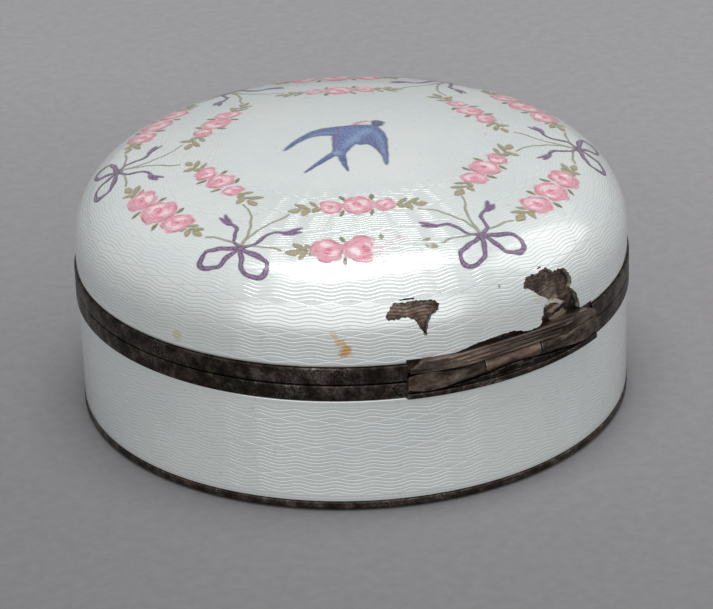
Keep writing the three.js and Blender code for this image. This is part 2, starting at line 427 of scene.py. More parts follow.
class Canvas:
    """Colour and cover over a grid of points measured in millimetres."""

    def __init__(self, x: np.ndarray, y: np.ndarray, seed: int) -> None:
        """Starts with nothing painted.

        Args:
            x: distance across, at each grid point.
            y: distance down, at each grid point.
            seed: seed of the brush's drift.
        """
        self.drift = Wobble(seed)
        self.x, self.y = self.drift.shift(x, y)
        self.rng = np.random.default_rng(seed + 1)
        self.rgb = np.zeros(x.shape + (3,))
        self.cover = np.zeros(x.shape)

    def measure(self, x: np.ndarray, y: np.ndarray) -> None:
        """Measures from another point from now on."""
        self.x, self.y = self.drift.shift(x, y)

    def lay(self, amount: np.ndarray, colour: Colour) -> None:
        """Lays one colour over what is there."""
        total = amount + self.cover * (1 - amount)
        keep = np.maximum(total, 1e-6)[..., None]
        old = self.rgb * (self.cover * (1 - amount))[..., None]
        self.rgb = (np.array(colour) * amount[..., None] + old) / keep
        self.cover = total

    def stroke(
        self, path: Sequence[Point], widths: Sequence[float], colour: Colour, strength: float = 0.9,
        soft: float = 0.09,
    ) -> None:
        """Draws a stroke whose width changes along a smooth path.

        Args:
            path: points the stroke passes through.
            widths: width at each of those points.
            colour: linear colour.
            strength: cover in the middle of the stroke.
            soft: width of its soft edge.
        """
        knots = np.array(path, float)
        t = np.linspace(0, len(knots) - 1, 10 * (len(knots) - 1) + 1)
        line = np.stack([curve_through(knots[:, k], t) for k in (0, 1)], 1)
        width = np.interp(t, np.arange(len(widths)), widths)
        reach = max(widths) + 3 * soft
        beside = (self.x > line[:, 0].min() - reach) & (self.x < line[:, 0].max() + reach)
        below = (self.y > line[:, 1].min() - reach) & (self.y < line[:, 1].max() + reach)
        near = beside & below
        px, py = self.x[near], self.y[near]
        closest = np.full(px.shape, FAR_AWAY)
        for (ax, ay), (bx, by), wa, wb in zip(line[:-1], line[1:], width[:-1], width[1:]):
            dx, dy = bx - ax, by - ay
            k = np.clip(((px - ax) * dx + (py - ay) * dy) / (dx * dx + dy * dy + 1e-12), 0, 1)
            d = np.hypot(px - ax - k * dx, py - ay - k * dy) - (wa + (wb - wa) * k) / 2
            closest = np.minimum(closest, d)
        far = np.full(self.x.shape, FAR_AWAY)
        far[near] = closest
        self.lay(strength * (1 - smooth(-soft, soft, far)), colour)

    def blob(
        self, centre: Point, across: float, down: float, turn: float, colour: Colour, strength: float = 0.9,
        soft: float = 0.1,
    ) -> None:
        """Paints a soft-edged oval with half-sizes across and down, turned by degrees."""
        c, s = math.cos(math.radians(turn)), math.sin(math.radians(turn))
        u, v = self.x - centre[0], self.y - centre[1]
        a, b = (u * c + v * s) / across, (-u * s + v * c) / down
        d = (np.hypot(a, b) - 1) * min(across, down)
        self.lay(strength * (1 - smooth(-soft, soft, d)), colour)

    def patch(
        self, outline: Sequence[Point], colour: Colour, strength: float = 0.9, soft: float = 0.1
    ) -> None:
        """Fills a closed outline with a soft edge."""
        pts = np.array(outline, float)
        loop = np.vstack([pts, pts[:3]])
        t = np.linspace(1, len(pts) + 1, 8 * len(pts), endpoint=False)
        ring = np.stack([curve_through(np.concatenate([pts[-1:, k], loop[:, k]]), t) for k in (0, 1)], 1)
        inside = np.zeros(self.x.shape, bool)
        far = np.full(self.x.shape, FAR_AWAY)
        for (ax, ay), (bx, by) in zip(ring, np.roll(ring, -1, 0)):
            if ay != by:
                cross = (ay > self.y) != (by > self.y)
                inside ^= cross & (self.x < (bx - ax) * (self.y - ay) / (by - ay) + ax)
            dx, dy = bx - ax, by - ay
            k = np.clip(((self.x - ax) * dx + (self.y - ay) * dy) / (dx * dx + dy * dy + 1e-12), 0, 1)
            far = np.minimum(far, np.hypot(self.x - ax - k * dx, self.y - ay - k * dy))
        self.lay(strength * (1 - smooth(-soft, soft, np.where(inside, -far, far))), colour)


def curve_through(values: np.ndarray, t: np.ndarray) -> np.ndarray:
    """Smooth curve through evenly numbered values."""
    n = len(values)
    i = np.clip(np.floor(t).astype(int), 0, n - 2)
    f = t - i
    p0, p1 = values[np.maximum(i - 1, 0)], values[i]
    p2, p3 = values[i + 1], values[np.minimum(i + 2, n - 1)]
    return 0.5 * (
        2 * p1 + (p2 - p0) * f + (2 * p0 - 5 * p1 + 4 * p2 - p3) * f**2 + (3 * p1 - p0 - 3 * p2 + p3) * f**3
    )


@dataclass(frozen=True)
class Palette:
    """Colours of the enamel painting."""

    petal: Colour = linear("f1aabb")
    petal_light: Colour = linear("fdeaec")
    petal_deep: Colour = linear("dc5f83")
    petal_heart: Colour = linear("cb3f66")
    leaf: Colour = linear("aeab78")
    leaf_dark: Colour = linear("7c7645")
    leaf_gold: Colour = linear("c5b183")
    stem: Colour = linear("a2a183")
    ribbon: Colour = linear("75447f")
    ribbon_dark: Colour = linear("4a2b58")
    ribbon_light: Colour = linear("a583b3")
    bird: Colour = linear("40609f")
    bird_dark: Colour = linear("26386a")
    bird_light: Colour = linear("7fa1c8")
    bird_violet: Colour = linear("5f4f86")
    bird_throat: Colour = linear("e09aa8")


PAINT = Palette()


def paint_rose(canvas: Canvas, centre: Point, size: float) -> None:
    """Paints an open rose.

    Args:
        canvas: where to paint.
        centre: middle of the rose.
        size: its radius.
    """
    cx, cy = centre
    rng = canvas.rng
    start = rng.uniform(0, TAU)
    for k in range(6):
        a = start + k * TAU / 6 + rng.uniform(-0.2, 0.2)
        far = 0.46 * size
        canvas.blob(
            (cx + far * math.cos(a), cy + far * math.sin(a)), 0.52 * size, 0.44 * size, math.degrees(a),
            PAINT.petal, 0.55, 0.15,
        )
    for _ in range(3):
        a = rng.uniform(0, TAU)
        canvas.blob(
            (cx + 0.45 * size * math.cos(a), cy + 0.45 * size * math.sin(a)), 0.34 * size, 0.2 * size,
            math.degrees(a) + 90, PAINT.petal_light, 0.6, 0.14,
        )

    def crescent(angle: float, far: float, half: float, wide: float, colour: Colour, strength: float) -> None:
        """Adds a curved touch of the brush, thick in the middle."""
        arc = [angle - half, angle - half / 3, angle + half / 3, angle + half]
        path = [(cx + size * far * math.cos(t), cy + size * far * math.sin(t)) for t in arc]
        canvas.stroke(path, [0.03, wide * size, wide * size, 0.03], colour, strength, 0.07)

    for k in range(4):
        a = start + 0.4 + k * TAU / 4 + rng.uniform(-0.35, 0.35)
        crescent(
            a, rng.uniform(0.8, 0.92), rng.uniform(0.3, 0.55), 0.13, PAINT.petal_deep,
            rng.uniform(0.35, 0.8),
        )
    for k in range(3):
        a = start + 1.3 + k * TAU / 3 + rng.uniform(-0.4, 0.4)
        crescent(
            a, rng.uniform(0.48, 0.6), rng.uniform(0.4, 0.8), 0.12, PAINT.petal_deep, rng.uniform(0.35, 0.7)
        )
    crescent(start + 2.2, 0.27, 1.2, 0.13, PAINT.petal_heart, 0.75)
    canvas.blob(
        (cx + 0.06 * size, cy - 0.03 * size), 0.2 * size, 0.13 * size, math.degrees(start),
        PAINT.petal_heart, 0.7, 0.09,
    )


def paint_leaf(canvas: Canvas, root: Point, heading: float, length: float, colour: Colour) -> None:
    """Paints a small oval leaf with a darker outline.

    Args:
        canvas: where to paint.
        root: where the leaf starts.
        heading: direction in degrees, 0 to the right and 90 outward.
        length: its length.
        colour: its main colour.
    """
    c, s = math.cos(math.radians(heading)), math.sin(math.radians(heading))
    steps = (0, 0.25, 0.55, 0.85, 1)
    along = [(root[0] + length * k * c, root[1] + length * k * s) for k in steps]
    canvas.stroke(along, [0.08, 0.36 * length, 0.5 * length, 0.3 * length, 0.04], PAINT.leaf_dark, 0.38, 0.08)
    canvas.stroke(along, [0.04, 0.24 * length, 0.36 * length, 0.18 * length, 0.02], colour, 0.62, 0.1)
    canvas.stroke(along[:4], [0.07, 0.06, 0.05, 0.03], PAINT.leaf_dark, 0.5, 0.04)


def paint_garland(canvas: Canvas, sizes: Sequence[float], spread: float, hang: float, leafy: float) -> None:
    """Paints three roses with leaves at both ends, about the point the canvas is measured from.

    Args:
        canvas: where to paint.
        sizes: radii of the left, middle and right rose.
        spread: distance between neighbouring roses.
        hang: how far the leaves at its ends hang outward of its middle.
        leafy: how far the leaves reach beyond the outer roses.
    """
    rng = canvas.rng
    for side in (-1, 1):
        level = 0.0 if side > 0 else 180.0
        for k, (t, lean, size) in enumerate(
            ((0.0, 50, 0.85), (0.1, -48, 0.9), (0.45, 62, 1.05), (0.5, -30, 1.2), (0.85, 12, 1.15))
        ):
            root = (side * (spread + 0.85 + leafy * t), hang * (0.3 + 0.7 * t) + rng.uniform(-0.08, 0.08))
            paint_leaf(
                canvas, root, level + side * (lean + rng.uniform(-12, 12)), size * rng.uniform(0.9, 1.1),
                PAINT.leaf_gold if k in (2, 4) else PAINT.leaf,
            )
        for turn in (-100, 95):
            root = (side * spread * 0.52, 0.62 * sizes[1] if turn > 0 else -0.55 * sizes[1])
            paint_leaf(canvas, root, turn + rng.uniform(-20, 20), 0.7, PAINT.leaf_dark)
    for k in (0, 2, 1):
        paint_rose(canvas, ((k - 1) * spread, hang * 0.3 if k != 1 else 0.0), sizes[k])


def paint_ribbon(canvas: Canvas, path: Sequence[Point], widths: Sequence[float]) -> None:
    """Paints a ribbon with darker edges and a lighter middle."""
    widths = [0.78 * w for w in widths]
    canvas.stroke(path, widths, PAINT.ribbon_dark, 0.85, 0.07)
    canvas.stroke(path, [0.55 * w for w in widths], PAINT.ribbon, 0.8, 0.08)
    canvas.stroke(path, [0.18 * w for w in widths], PAINT.ribbon_light, 0.25, 0.08)


def paint_bow(canvas: Canvas, lean: float) -> None:
    """Paints a bow with open loops and tails, and the stems tied in it, about the canvas's own origin.

    Args:
        canvas: where to paint.
        lean: how much longer the right tail is than the left.
    """
    for side in (-1, 1):
        out = [(0.0, -0.25), (0.9, -0.4), (1.95, -0.5), (3.3, -0.3)]
        up = [(0.0, -0.2), (0.25, -2.1), (0.85, -3.5), (1.45, -4.4), (1.65 if side > 0 else 2.4, -5.0)]
        for path in (out, up):
            canvas.stroke(
                [(side * x, y) for x, y in path], [0.15, 0.13, 0.12, 0.11, 0.1][: len(path)], PAINT.stem,
                0.8, 0.06,
            )
    for side in (-1, 1):
        k = 1 + 0.12 * side * lean
        tail = [(0.1, -0.1), (0.85, -0.5), (1.1, -1.2), (1.35, -2.0), (1.8, -2.35), (2.6 * k, -2.5)]
        paint_ribbon(canvas, [(side * x, y) for x, y in tail], [0.32, 0.24, 0.3, 0.32, 0.24, 0.42])
        for dx, dy, wide in ((1.0, -0.15, 0.5), (0.85, -0.75, 0.42)):
            fork = [(2.45 * k, -2.45), (2.45 * k + 0.5 * dx, -2.5 + 0.5 * dy), (2.45 * k + dx, -2.55 + dy)]
            canvas.stroke([(side * x, y) for x, y in fork], [0.42, wide, 0.12], PAINT.ribbon, 0.6, 0.14)
            canvas.stroke(
                [(side * x, y - 0.05) for x, y in fork], [0.1, 0.14, 0.05], PAINT.ribbon_dark, 0.4, 0.08
            )
    for side in (-1, 1):
        k = 1 + 0.06 * side * lean
        loop = [
            (0.1, 0.05), (1.15, 0.42), (2.3, 0.82), (2.72 * k, 1.3), (2.75 * k, 2.15), (2.35 * k, 2.45),
            (1.6, 2.25), (0.95, 1.9), (0.55, 1.1), (0.08, 0.15),
        ]
        paint_ribbon(
            canvas, [(side * x, y) for x, y in loop],
            [0.34, 0.5, 0.4, 0.28, 0.6, 0.5, 0.28, 0.36, 0.46, 0.34],
        )
    canvas.blob((0, 0), 0.36, 0.3, 20, PAINT.ribbon_dark, 0.95, 0.08)
    canvas.blob((0.05, -0.04), 0.15, 0.11, 0, PAINT.ribbon, 0.7, 0.08)


def paint_swallow(canvas: Canvas) -> None:
    """Paints a swallow in flight, measured to the right and toward the viewer."""
    far_wing = [
        (0.9, -1.9), (-0.6, -1.8), (-1.9, -1.55), (-3.0, -0.85), (-4.1, 0.5), (-5.1, 2.4), (-4.0, 1.1),
        (-3.0, 0.1), (-2.1, -0.1), (-1.0, 0.0), (0.4, 0.2),
    ]
    near_wing = [
        (1.3, -1.8), (2.3, -1.55), (2.85, -0.4), (3.05, 1.8), (3.0, 5.7), (2.6, 3.9), (2.15, 2.6),
        (1.5, 1.9), (0.8, 1.9), (0.6, 0.2),
    ]
    body = [
        (-0.7, -1.5), (0.9, -2.0), (2.2, -1.9), (2.0, -0.6), (1.2, 0.9), (0.4, 2.2), (-0.2, 3.4),
        (-0.9, 4.1), (-1.2, 3.2), (-1.1, 1.6), (-1.0, 0.0),
    ]
    canvas.stroke(
        [(-0.8, 3.1), (-1.5, 4.1), (-2.3, 5.1), (-3.4, 6.6)], [0.5, 0.55, 0.42, 0.05], PAINT.bird, 0.75,
        0.16,
    )
    canvas.stroke(
        [(-0.9, 3.4), (-1.5, 4.3), (-2.3, 5.3), (-3.3, 6.55)], [0.2, 0.2, 0.16, 0.05], PAINT.bird_dark,
        0.55, 0.12,
    )
    canvas.stroke(
        [(-0.5, 3.3), (-0.5, 4.5), (-0.35, 5.4), (-0.05, 6.7)], [0.5, 0.5, 0.34, 0.05], PAINT.bird, 0.75,
        0.15,
    )
    canvas.stroke([(-0.4, 3.9), (-0.3, 4.9), (-0.05, 6.6)], [0.2, 0.2, 0.05], PAINT.bird_dark, 0.5, 0.12)
    canvas.patch(far_wing, PAINT.bird, 0.8, 0.22)
    canvas.stroke(
        [(0.3, -1.7), (-1.5, -1.5), (-2.8, -0.8), (-3.9, 0.5), (-4.9, 2.1)], [0.3, 0.34, 0.28, 0.22, 0.05],
        PAINT.bird_dark, 0.45, 0.25,
    )
    canvas.stroke([(-1.2, -0.6), (-2.4, -0.4), (-3.3, 0.3)], [0.3, 0.26, 0.1], PAINT.bird_light, 0.45, 0.25)
    canvas.patch(body, PAINT.bird, 0.85, 0.22)
    canvas.patch(near_wing, PAINT.bird, 0.85, 0.2)
    canvas.stroke(
        [(1.6, -1.0), (0.9, 0.2), (0.2, 1.3), (-0.3, 2.4)], [0.5, 0.9, 0.75, 0.3], PAINT.bird_light, 0.62,
        0.45,
    )
    canvas.stroke([(-0.5, -1.6), (0.8, -1.75), (2.2, -1.5)], [0.35, 0.6, 0.4], PAINT.bird_dark, 0.55, 0.3)
    canvas.stroke(
        [(-0.75, -1.2), (-0.95, 0.0), (-1.0, 1.4), (-0.95, 2.6)], [0.35, 0.4, 0.36, 0.25],
        PAINT.bird_violet, 0.7, 0.24,
    )
    canvas.stroke(
        [(1.1, 0.3), (1.5, 1.1), (2.1, 2.0), (2.6, 3.4)], [0.6, 0.6, 0.4, 0.15], PAINT.bird_dark, 0.45, 0.3
    )
    canvas.stroke(
        [(2.1, -0.6), (2.5, 0.9), (2.75, 2.6), (2.95, 5.3)], [0.3, 0.4, 0.34, 0.06], PAINT.bird_light, 0.4,
        0.25,
    )
    canvas.stroke(
        [(2.5, -1.2), (2.92, 0.4), (3.05, 2.6), (3.0, 5.5)], [0.2, 0.2, 0.2, 0.05], PAINT.bird_dark, 0.45,
        0.14,
    )
    canvas.blob((-0.85, 3.55), 0.34, 0.4, 0, PAINT.bird_light, 0.6, 0.25)
    canvas.stroke([(0.5, -2.2), (0.95, -2.65), (1.6, -2.85)], [0.2, 0.42, 0.25], PAINT.bird_throat, 0.65, 0.2)
    canvas.stroke([(1.2, -2.35), (1.75, -2.45)], [0.35, 0.4], linear("eef0f0"), 0.6, 0.2)
    canvas.blob((2.4, -2.45), 0.42, 0.62, -12, PAINT.bird_dark, 0.85, 0.2)
    canvas.stroke([(2.5, -2.8), (2.8, -2.75), (3.05, -2.6)], [0.3, 0.16, 0.04], PAINT.bird_dark, 0.8, 0.08)


# ------------------------------------------------------------------ paint films


def film(name: str, top: np.ndarray, low: np.ndarray, canvas: Canvas) -> Thing:
    """Makes a thin closed skin wherever a canvas is painted.

    Args:
        name: name of the new object.
        top: place of each grid point on the outer side.
        low: place of each grid point on the inner side.
        canvas: the painting.

    Returns:
        The skin, with its colours in the attribute "paint".
    """
    wet = canvas.cover > FAINTEST
    rows, cols = np.nonzero(wet[:-1, :-1] | wet[1:, :-1] | wet[:-1, 1:] | wet[1:, 1:])
    width = wet.shape[1]
    corner = rows * width + cols
    quads = np.stack([corner, corner + 1, corner + width + 1, corner + width], 1)
    used, index = np.unique(quads, return_inverse=True)
    quads = index.reshape(-1, 4)
    n = len(used)
    edges = np.concatenate([quads[:, [k, (k + 1) % 4]] for k in range(4)])
    key = np.sort(edges, 1)
    _, inverse, counts = np.unique(key[:, 0] * n + key[:, 1], return_inverse=True, return_counts=True)
    rim = edges[counts[inverse] == 1]
    walls = np.stack([rim[:, 1], rim[:, 0], rim[:, 0] + n, rim[:, 1] + n], 1)
    faces = np.concatenate([quads, quads[:, ::-1] + n, walls])
    verts = np.concatenate([top.reshape(-1, 3)[used], low.reshape(-1, 3)[used]])
    a, b, c = verts[faces[0, 0]], verts[faces[0, 1]], verts[faces[0, 2]]
    if np.cross(b - a, c - a)[2] < 0:
        faces = faces[:, ::-1]
    thing = build_object(name, verts, faces.tolist(), 60)
    cover = canvas.cover.reshape(-1)[used]
    rgba = np.concatenate([canvas.rgb.reshape(-1, 3)[used], cover[:, None]], 1)
    layer = thing.data.color_attributes.new("paint", "FLOAT_COLOR", "POINT")
    layer.data.foreach_set("color", np.concatenate([rgba, rgba]).astype(np.float32).ravel())
    return thing


# ---------------------------------------------------------------- node wiring


class Wiring:
    """Short way of adding and joining nodes in a tree."""

    def __init__(self, tree: bpy.types.NodeTree) -> None:
        """Keeps the tree the nodes go into."""
        self.tree = tree

    def feed(self, socket: Socket, value: Any) -> None:
        """Links a socket, or sets its plain value."""
        if value is None:
            return
        if isinstance(value, Socket):
            self.tree.links.new(value, socket)
        elif socket.type == "RGBA" and len(value) == 3:
            socket.default_value = (*value, 1.0)
        else:
            socket.default_value = value

    def add(self, kind: str, *feeds: Any, **settings: Any) -> Node:
        """Adds a node.

        Args:
            kind: the node's type.
            feeds: what goes into its inputs, in order.
            settings: its other settings.

        Returns:
            The new node.
        """
        node = self.tree.nodes.new(kind)
        for key, value in settings.items():
            setattr(node, key, value)
        for socket, value in zip(node.inputs, feeds):
            self.feed(socket, value)
        return node

    def math(self, operation: str, *values: Any) -> Socket:
        """Result of a math node."""
        return self.add("ShaderNodeMath", *values, operation=operation).outputs[0]

    def mix(self, amount: Any, first: Any, second: Any, blend: str = "MIX") -> Socket:
        """Mixes two colours."""
        node = self.add("ShaderNodeMix", data_type="RGBA", blend_type=blend)
        for index, value in ((0, amount), (6, first), (7, second)):
            self.feed(node.inputs[index], value)
        return node.outputs[2]

    def span(self, value: Any, low: float, high: float, start: Any = 0.0, stop: Any = 1.0) -> Socket:
        """Maps low to start and high to stop, smoothly and without going beyond."""
        return self.add(
            "ShaderNodeMapRange", value, low, high, start, stop, interpolation_type="SMOOTHSTEP"
        ).outputs[0]

    def noise(self, place: Any, scale: Any, detail: float = 2.0, rough: float = 0.5) -> Socket:
        """Value of a noise texture."""
        node = self.add("ShaderNodeTexNoise")
        for name, value in (("Vector", place), ("Scale", scale), ("Detail", detail), ("Roughness", rough)):
            self.feed(node.inputs[name], value)
        return node.outputs[0]

    def objects(self) -> Socket:
        """Object coordinates."""
        return self.add("ShaderNodeTexCoord").outputs["Object"]

    def moved(
        self, place: Any, shift: Sequence[float] = (0, 0, 0), scale: Sequence[float] = (1, 1, 1)
    ) -> Socket:
        """Coordinates shifted and scaled."""
        return self.add("ShaderNodeMapping", place, shift, (0, 0, 0), scale).outputs[0]

    def plus(self, first: Any, second: Any) -> Socket:
        """Sum of two values."""
        return self.math("ADD", first, second)

    def minus(self, first: Any, second: Any) -> Socket:
        """Difference of two values."""
        return self.math("SUBTRACT", first, second)

    def times(self, first: Any, second: Any) -> Socket:
        """Product of two values."""
        return self.math("MULTIPLY", first, second)

    def arc(self) -> Socket:
        """Distance along the turned profile, in millimetres."""
        return self.add("ShaderNodeAttribute", attribute_name="arc").outputs["Fac"]

    def dot(self, first: Any, second: Any) -> Socket:
        """Dot product of two vectors."""
        return self.add("ShaderNodeVectorMath", first, second, operation="DOT_PRODUCT").outputs["Value"]

    def away(self, place: Any, degrees: float, arc: float, lift: float = 0.0) -> Socket:
        """Distance from a spot on the dome, in metres."""
        spot = tuple(float(c) for c in DOME.place(np.array(math.radians(degrees)), np.array(arc), lift) * MM)
        return self.add("ShaderNodeVectorMath", place, spot, operation="DISTANCE").outputs["Value"]

    def ragged(self, place: Any, scale: float, rough: float, reach: float) -> Socket:
        """Uneven distance in metres that breaks up the edge of a mask."""
        uneven = self.math("SUBTRACT", self.noise(place, scale, 3, rough), 0.5)
        return self.math("MULTIPLY", uneven, reach * MM)

    def bump(self, shader: Node, height: Any, depth: float, strength: float = 1.0) -> None:
        """Gives a shader relief of a depth in millimetres."""
        node = self.add("ShaderNodeBump")
        node.inputs["Strength"].default_value = strength
        node.inputs["Distance"].default_value = depth * MM
        self.feed(node.inputs["Height"], height)
        self.feed(shader.inputs["Normal"], node.outputs[0])

    def group(self, tree: bpy.types.NodeTree, **inputs: Any) -> Node:
        """Places a node group, with its inputs given by name."""
        node = self.tree.nodes.new("ShaderNodeGroup")
        node.node_tree = tree
        for name, value in inputs.items():
            self.feed(node.inputs[name], value)
        return node


def new_group(
    name: str, inputs: dict[str, tuple[str, Any]], outputs: dict[str, str], kind: str = "ShaderNodeTree"
) -> tuple[bpy.types.NodeTree, Node, Node]:
    """Starts a node group.

    Args:
        name: its name.
        inputs: socket type and default of each input.
        outputs: socket type of each output.
        kind: the sort of tree.

    Returns:
        The tree, its input node and its output node.
    """
    tree = bpy.data.node_groups.new(name, kind)
    for key, (socket, default) in inputs.items():
        item = tree.interface.new_socket(name=key, in_out="INPUT", socket_type=socket)
        if default is not None:
            item.default_value = default
    for key, socket in outputs.items():
        tree.interface.new_socket(name=key, in_out="OUTPUT", socket_type=socket)
    return tree, tree.nodes.new("NodeGroupInput"), tree.nodes.new("NodeGroupOutput")


FLOAT, RGBA, VECTOR = "NodeSocketFloat", "NodeSocketColor", "NodeSocketVector"


def engine_turning_group() -> bpy.types.NodeTree:
    """Wavy lines cut round the metal, with every so often one line half a wave out of step.

    Returns:
        The node group, whose Height is 0 at the bottom of a line and 1 between lines.
    """
    inputs = {
        "Place": (VECTOR, None),
        "Arc": (FLOAT, 0.0),
        "First": (FLOAT, 0.2),
        "Pitch": (FLOAT, 0.29),
        "Waves": (FLOAT, 48.0),
        "Swing": (FLOAT, 0.3),
        "Sharpness": (FLOAT, 0.15),
        "Every": (FLOAT, 8.0),
    }
    tree, ins, outs = new_group("engine_turning", inputs, {"Height": FLOAT, "Line": FLOAT})
    w = Wiring(tree)
    xyz = w.add("ShaderNodeSeparateXYZ", ins.outputs["Place"])
    angle = w.math("ARCTAN2", xyz.outputs[1], xyz.outputs[0])
    phase = w.times(angle, w.times(ins.outputs["Waves"], 0.5))
    near = []
    for shifted in (False, True):
        turn = w.plus(phase, math.pi / 2 if shifted else 0.0)
        s = w.math("SINE", turn)
        bent = w.math("SQRT", w.plus(w.times(s, s), w.math("POWER", ins.outputs["Sharpness"], 2.0)))
        lift = w.times(bent, ins.outputs["Swing"])
        level = w.math(
            "DIVIDE",
            w.minus(w.minus(ins.outputs["Arc"], ins.outputs["First"]), lift),
            ins.outputs["Pitch"],
        )
        number = w.math("ROUND", level)
        gap = w.math("ABSOLUTE", w.minus(level, number))
        left = w.math("FLOORED_MODULO", w.plus(number, 0.5), ins.outputs["Every"])
        special = w.math("LESS_THAN", left, 1.0)
        off = w.minus(1.0, special) if shifted else special
        near.append(w.plus(gap, off))
    d = w.math("MINIMUM", *near)
    w.feed(outs.inputs["Height"], w.span(d, 0.0, 0.24))
    w.feed(outs.inputs["Line"], w.span(d, 0.05, 0.24, 1.0, 0.0))
    return tree


def tarnish_group() -> bpy.types.NodeTree:
    """Patchy tarnish from nearly black over brown to pinkish grey.

    Returns:
        The node group.
    """
    inputs = {
        "Place": (VECTOR, None),
        "Scale": (FLOAT, 900.0),
        "Dark": (RGBA, (0.01, 0.01, 0.01, 1)),
        "Brown": (RGBA, (0.05, 0.04, 0.03, 1)),
        "Bare": (RGBA, (0.3, 0.25, 0.23, 1)),
        "Bareness": (FLOAT, 0.3),
    }
    tree, ins, outs = new_group("tarnish", inputs, {"Colour": RGBA, "Spots": FLOAT})
    w = Wiring(tree)
    place, scale = ins.outputs["Place"], ins.outputs["Scale"]
    broad = w.noise(place, scale, 4, 0.62)
    fine = w.noise(w.moved(place, (0.31, 0.17, 0.05)), w.times(scale, 4.2), 3, 0.6)
    mixed = w.plus(w.times(broad, 0.7), w.times(fine, 0.3))
    brown = w.mix(w.span(mixed, 0.4, 0.6), ins.outputs["Dark"], ins.outputs["Brown"])
    bare = w.times(w.span(mixed, 0.52, 0.68), ins.outputs["Bareness"])
    spots = w.span(w.noise(w.moved(place, (0.7, 0.2, 0.4)), w.times(scale, 7.0), 1, 0.5), 0.66, 0.74)
    w.feed(outs.inputs["Colour"], w.mix(bare, brown, ins.outputs["Bare"]))
    w.feed(outs.inputs["Spots"], spots)
    return tree


def scratches_group() -> bpy.types.NodeTree:
    """Fine scratches in two directions.

    Returns:
        The node group.
    """
    inputs = {"Place": (VECTOR, None), "Scale": (FLOAT, 1.0), "Amount": (FLOAT, 0.5)}
    tree, ins, outs = new_group("scratches", inputs, {"Mask": FLOAT})
    w = Wiring(tree)
    masks = []
    for turn, shift in (((0.3, 0.9, 0.2), 0.1), ((1.1, 0.2, 0.9), 0.6)):
        spun = w.add(
            "ShaderNodeMapping", ins.outputs["Place"], (shift, shift, shift), turn, (300, 6500, 4200)
        ).outputs[0]
        value = w.noise(spun, ins.outputs["Scale"], 1, 0.4)
        masks.append(w.span(w.math("ABSOLUTE", w.minus(value, 0.5)), 0.006, 0.022, 1.0, 0.0))
    patches = w.span(w.noise(w.moved(ins.outputs["Place"], (0.2, 0.1, 0.3)), 420.0, 1, 0.5), 0.52, 0.66)
    both = w.times(w.math("MAXIMUM", *masks), patches)
    w.feed(outs.inputs["Mask"], w.times(both, ins.outputs["Amount"]))
    return tree


def edge_wear_group() -> bpy.types.NodeTree:
    """Broken-up wear along outer edges, where a second normal leaves the true one.

    Returns:
        The node group.
    """
    inputs = {
        "Round": (VECTOR, None), "Flat": (VECTOR, None), "Place": (VECTOR, None), "Amount": (FLOAT, 0.5)
    }
    tree, ins, outs = new_group("edge_wear", inputs, {"Mask": FLOAT})
    w = Wiring(tree)
    dot = w.dot(ins.outputs["Round"], ins.outputs["Flat"])
    edge = w.span(dot, 0.86, 0.985, 1.0, 0.0)
    broken = w.span(w.noise(ins.outputs["Place"], 2600.0, 3, 0.6), 0.42, 0.62)
    w.feed(outs.inputs["Mask"], w.times(w.times(edge, broken), ins.outputs["Amount"]))
    return tree


class Effects:
    """The shader node groups, built once."""

    def __init__(self) -> None:
        """Builds every group."""
        self.turning = engine_turning_group()
        self.tarnish = tarnish_group()
        self.scratches = scratches_group()
        self.wear = edge_wear_group()


# -------------------------------------------------------------------- finishes


def glaze(shader: Node) -> None:
    """Lays a smooth glassy coat over a shader."""
    shader.inputs["Coat Weight"].default_value = 1.0
    shader.inputs["Coat Roughness"].default_value = 0.1
    shader.inputs["Coat IOR"].default_value = 1.5


def new_material(name: str) -> tuple[bpy.types.Material, Wiring, Node]:
    """Starts a material with one Principled shader."""
    material = bpy.data.materials.new(name)
    material.use_nodes = True
    tree = material.node_tree
    shader = next(n for n in tree.nodes if n.type == "BSDF_PRINCIPLED")
    return material, Wiring(tree), shader


@dataclass(frozen=True)
class Turning:
    """Sizes of the engine turning under an enamel."""

    first: float
    swing: float
    sharpness: float = 0.15
    pitch: float = 0.29
    waves: float = 48.0
    every: float = 8.0
    start: float = -1.0
    stop: float = 99.0
    borders: tuple[float, ...] = ()
    fade: tuple[float, float, float] = (90.0, 99.0, 1.0)

    def build(self, w: Wiring, effects: Effects, place: Any) -> tuple[Socket, Socket]:
        """Adds the lines to a material.

        Args:
            w: the material's wiring.
            effects: the shared node groups.
            place: object coordinates.

        Returns:
            Height and line mask, faded out beyond start and stop.
        """
        arc = w.arc()
        node = w.group(
            effects.turning, Place=place, Arc=arc, First=self.first, Pitch=self.pitch, Waves=self.waves,
            Swing=self.swing, Sharpness=self.sharpness, Every=self.every,
        )
        inside = w.times(w.span(arc, self.start - 0.04, self.start + 0.04),
            w.span(arc, self.stop - 0.04, self.stop + 0.04, 1.0, 0.0),
        )
        inside = w.times(inside, w.span(arc, self.fade[0], self.fade[1], 1.0, self.fade[2]))
        height = w.plus(w.times(w.minus(node.outputs["Height"], 1.0), inside), 1.0)
        for level in self.borders:
            away = w.math("ABSOLUTE", w.minus(arc, level))
            height = w.math("MINIMUM", height, w.span(away, 0.02, 0.13))
        return height, w.times(node.outputs["Line"], inside)


DOME_LINES = Turning(
    first=0.1, swing=0.36, sharpness=0.6, start=0.28, stop=25.5, borders=(0.12,), fade=(16.0, 20.0, 0.4)
)
WALL_LINES = Turning(first=2.6, swing=-0.36, sharpness=0.5, start=0.62, stop=8.0, borders=(0.2, 0.42, 8.22))


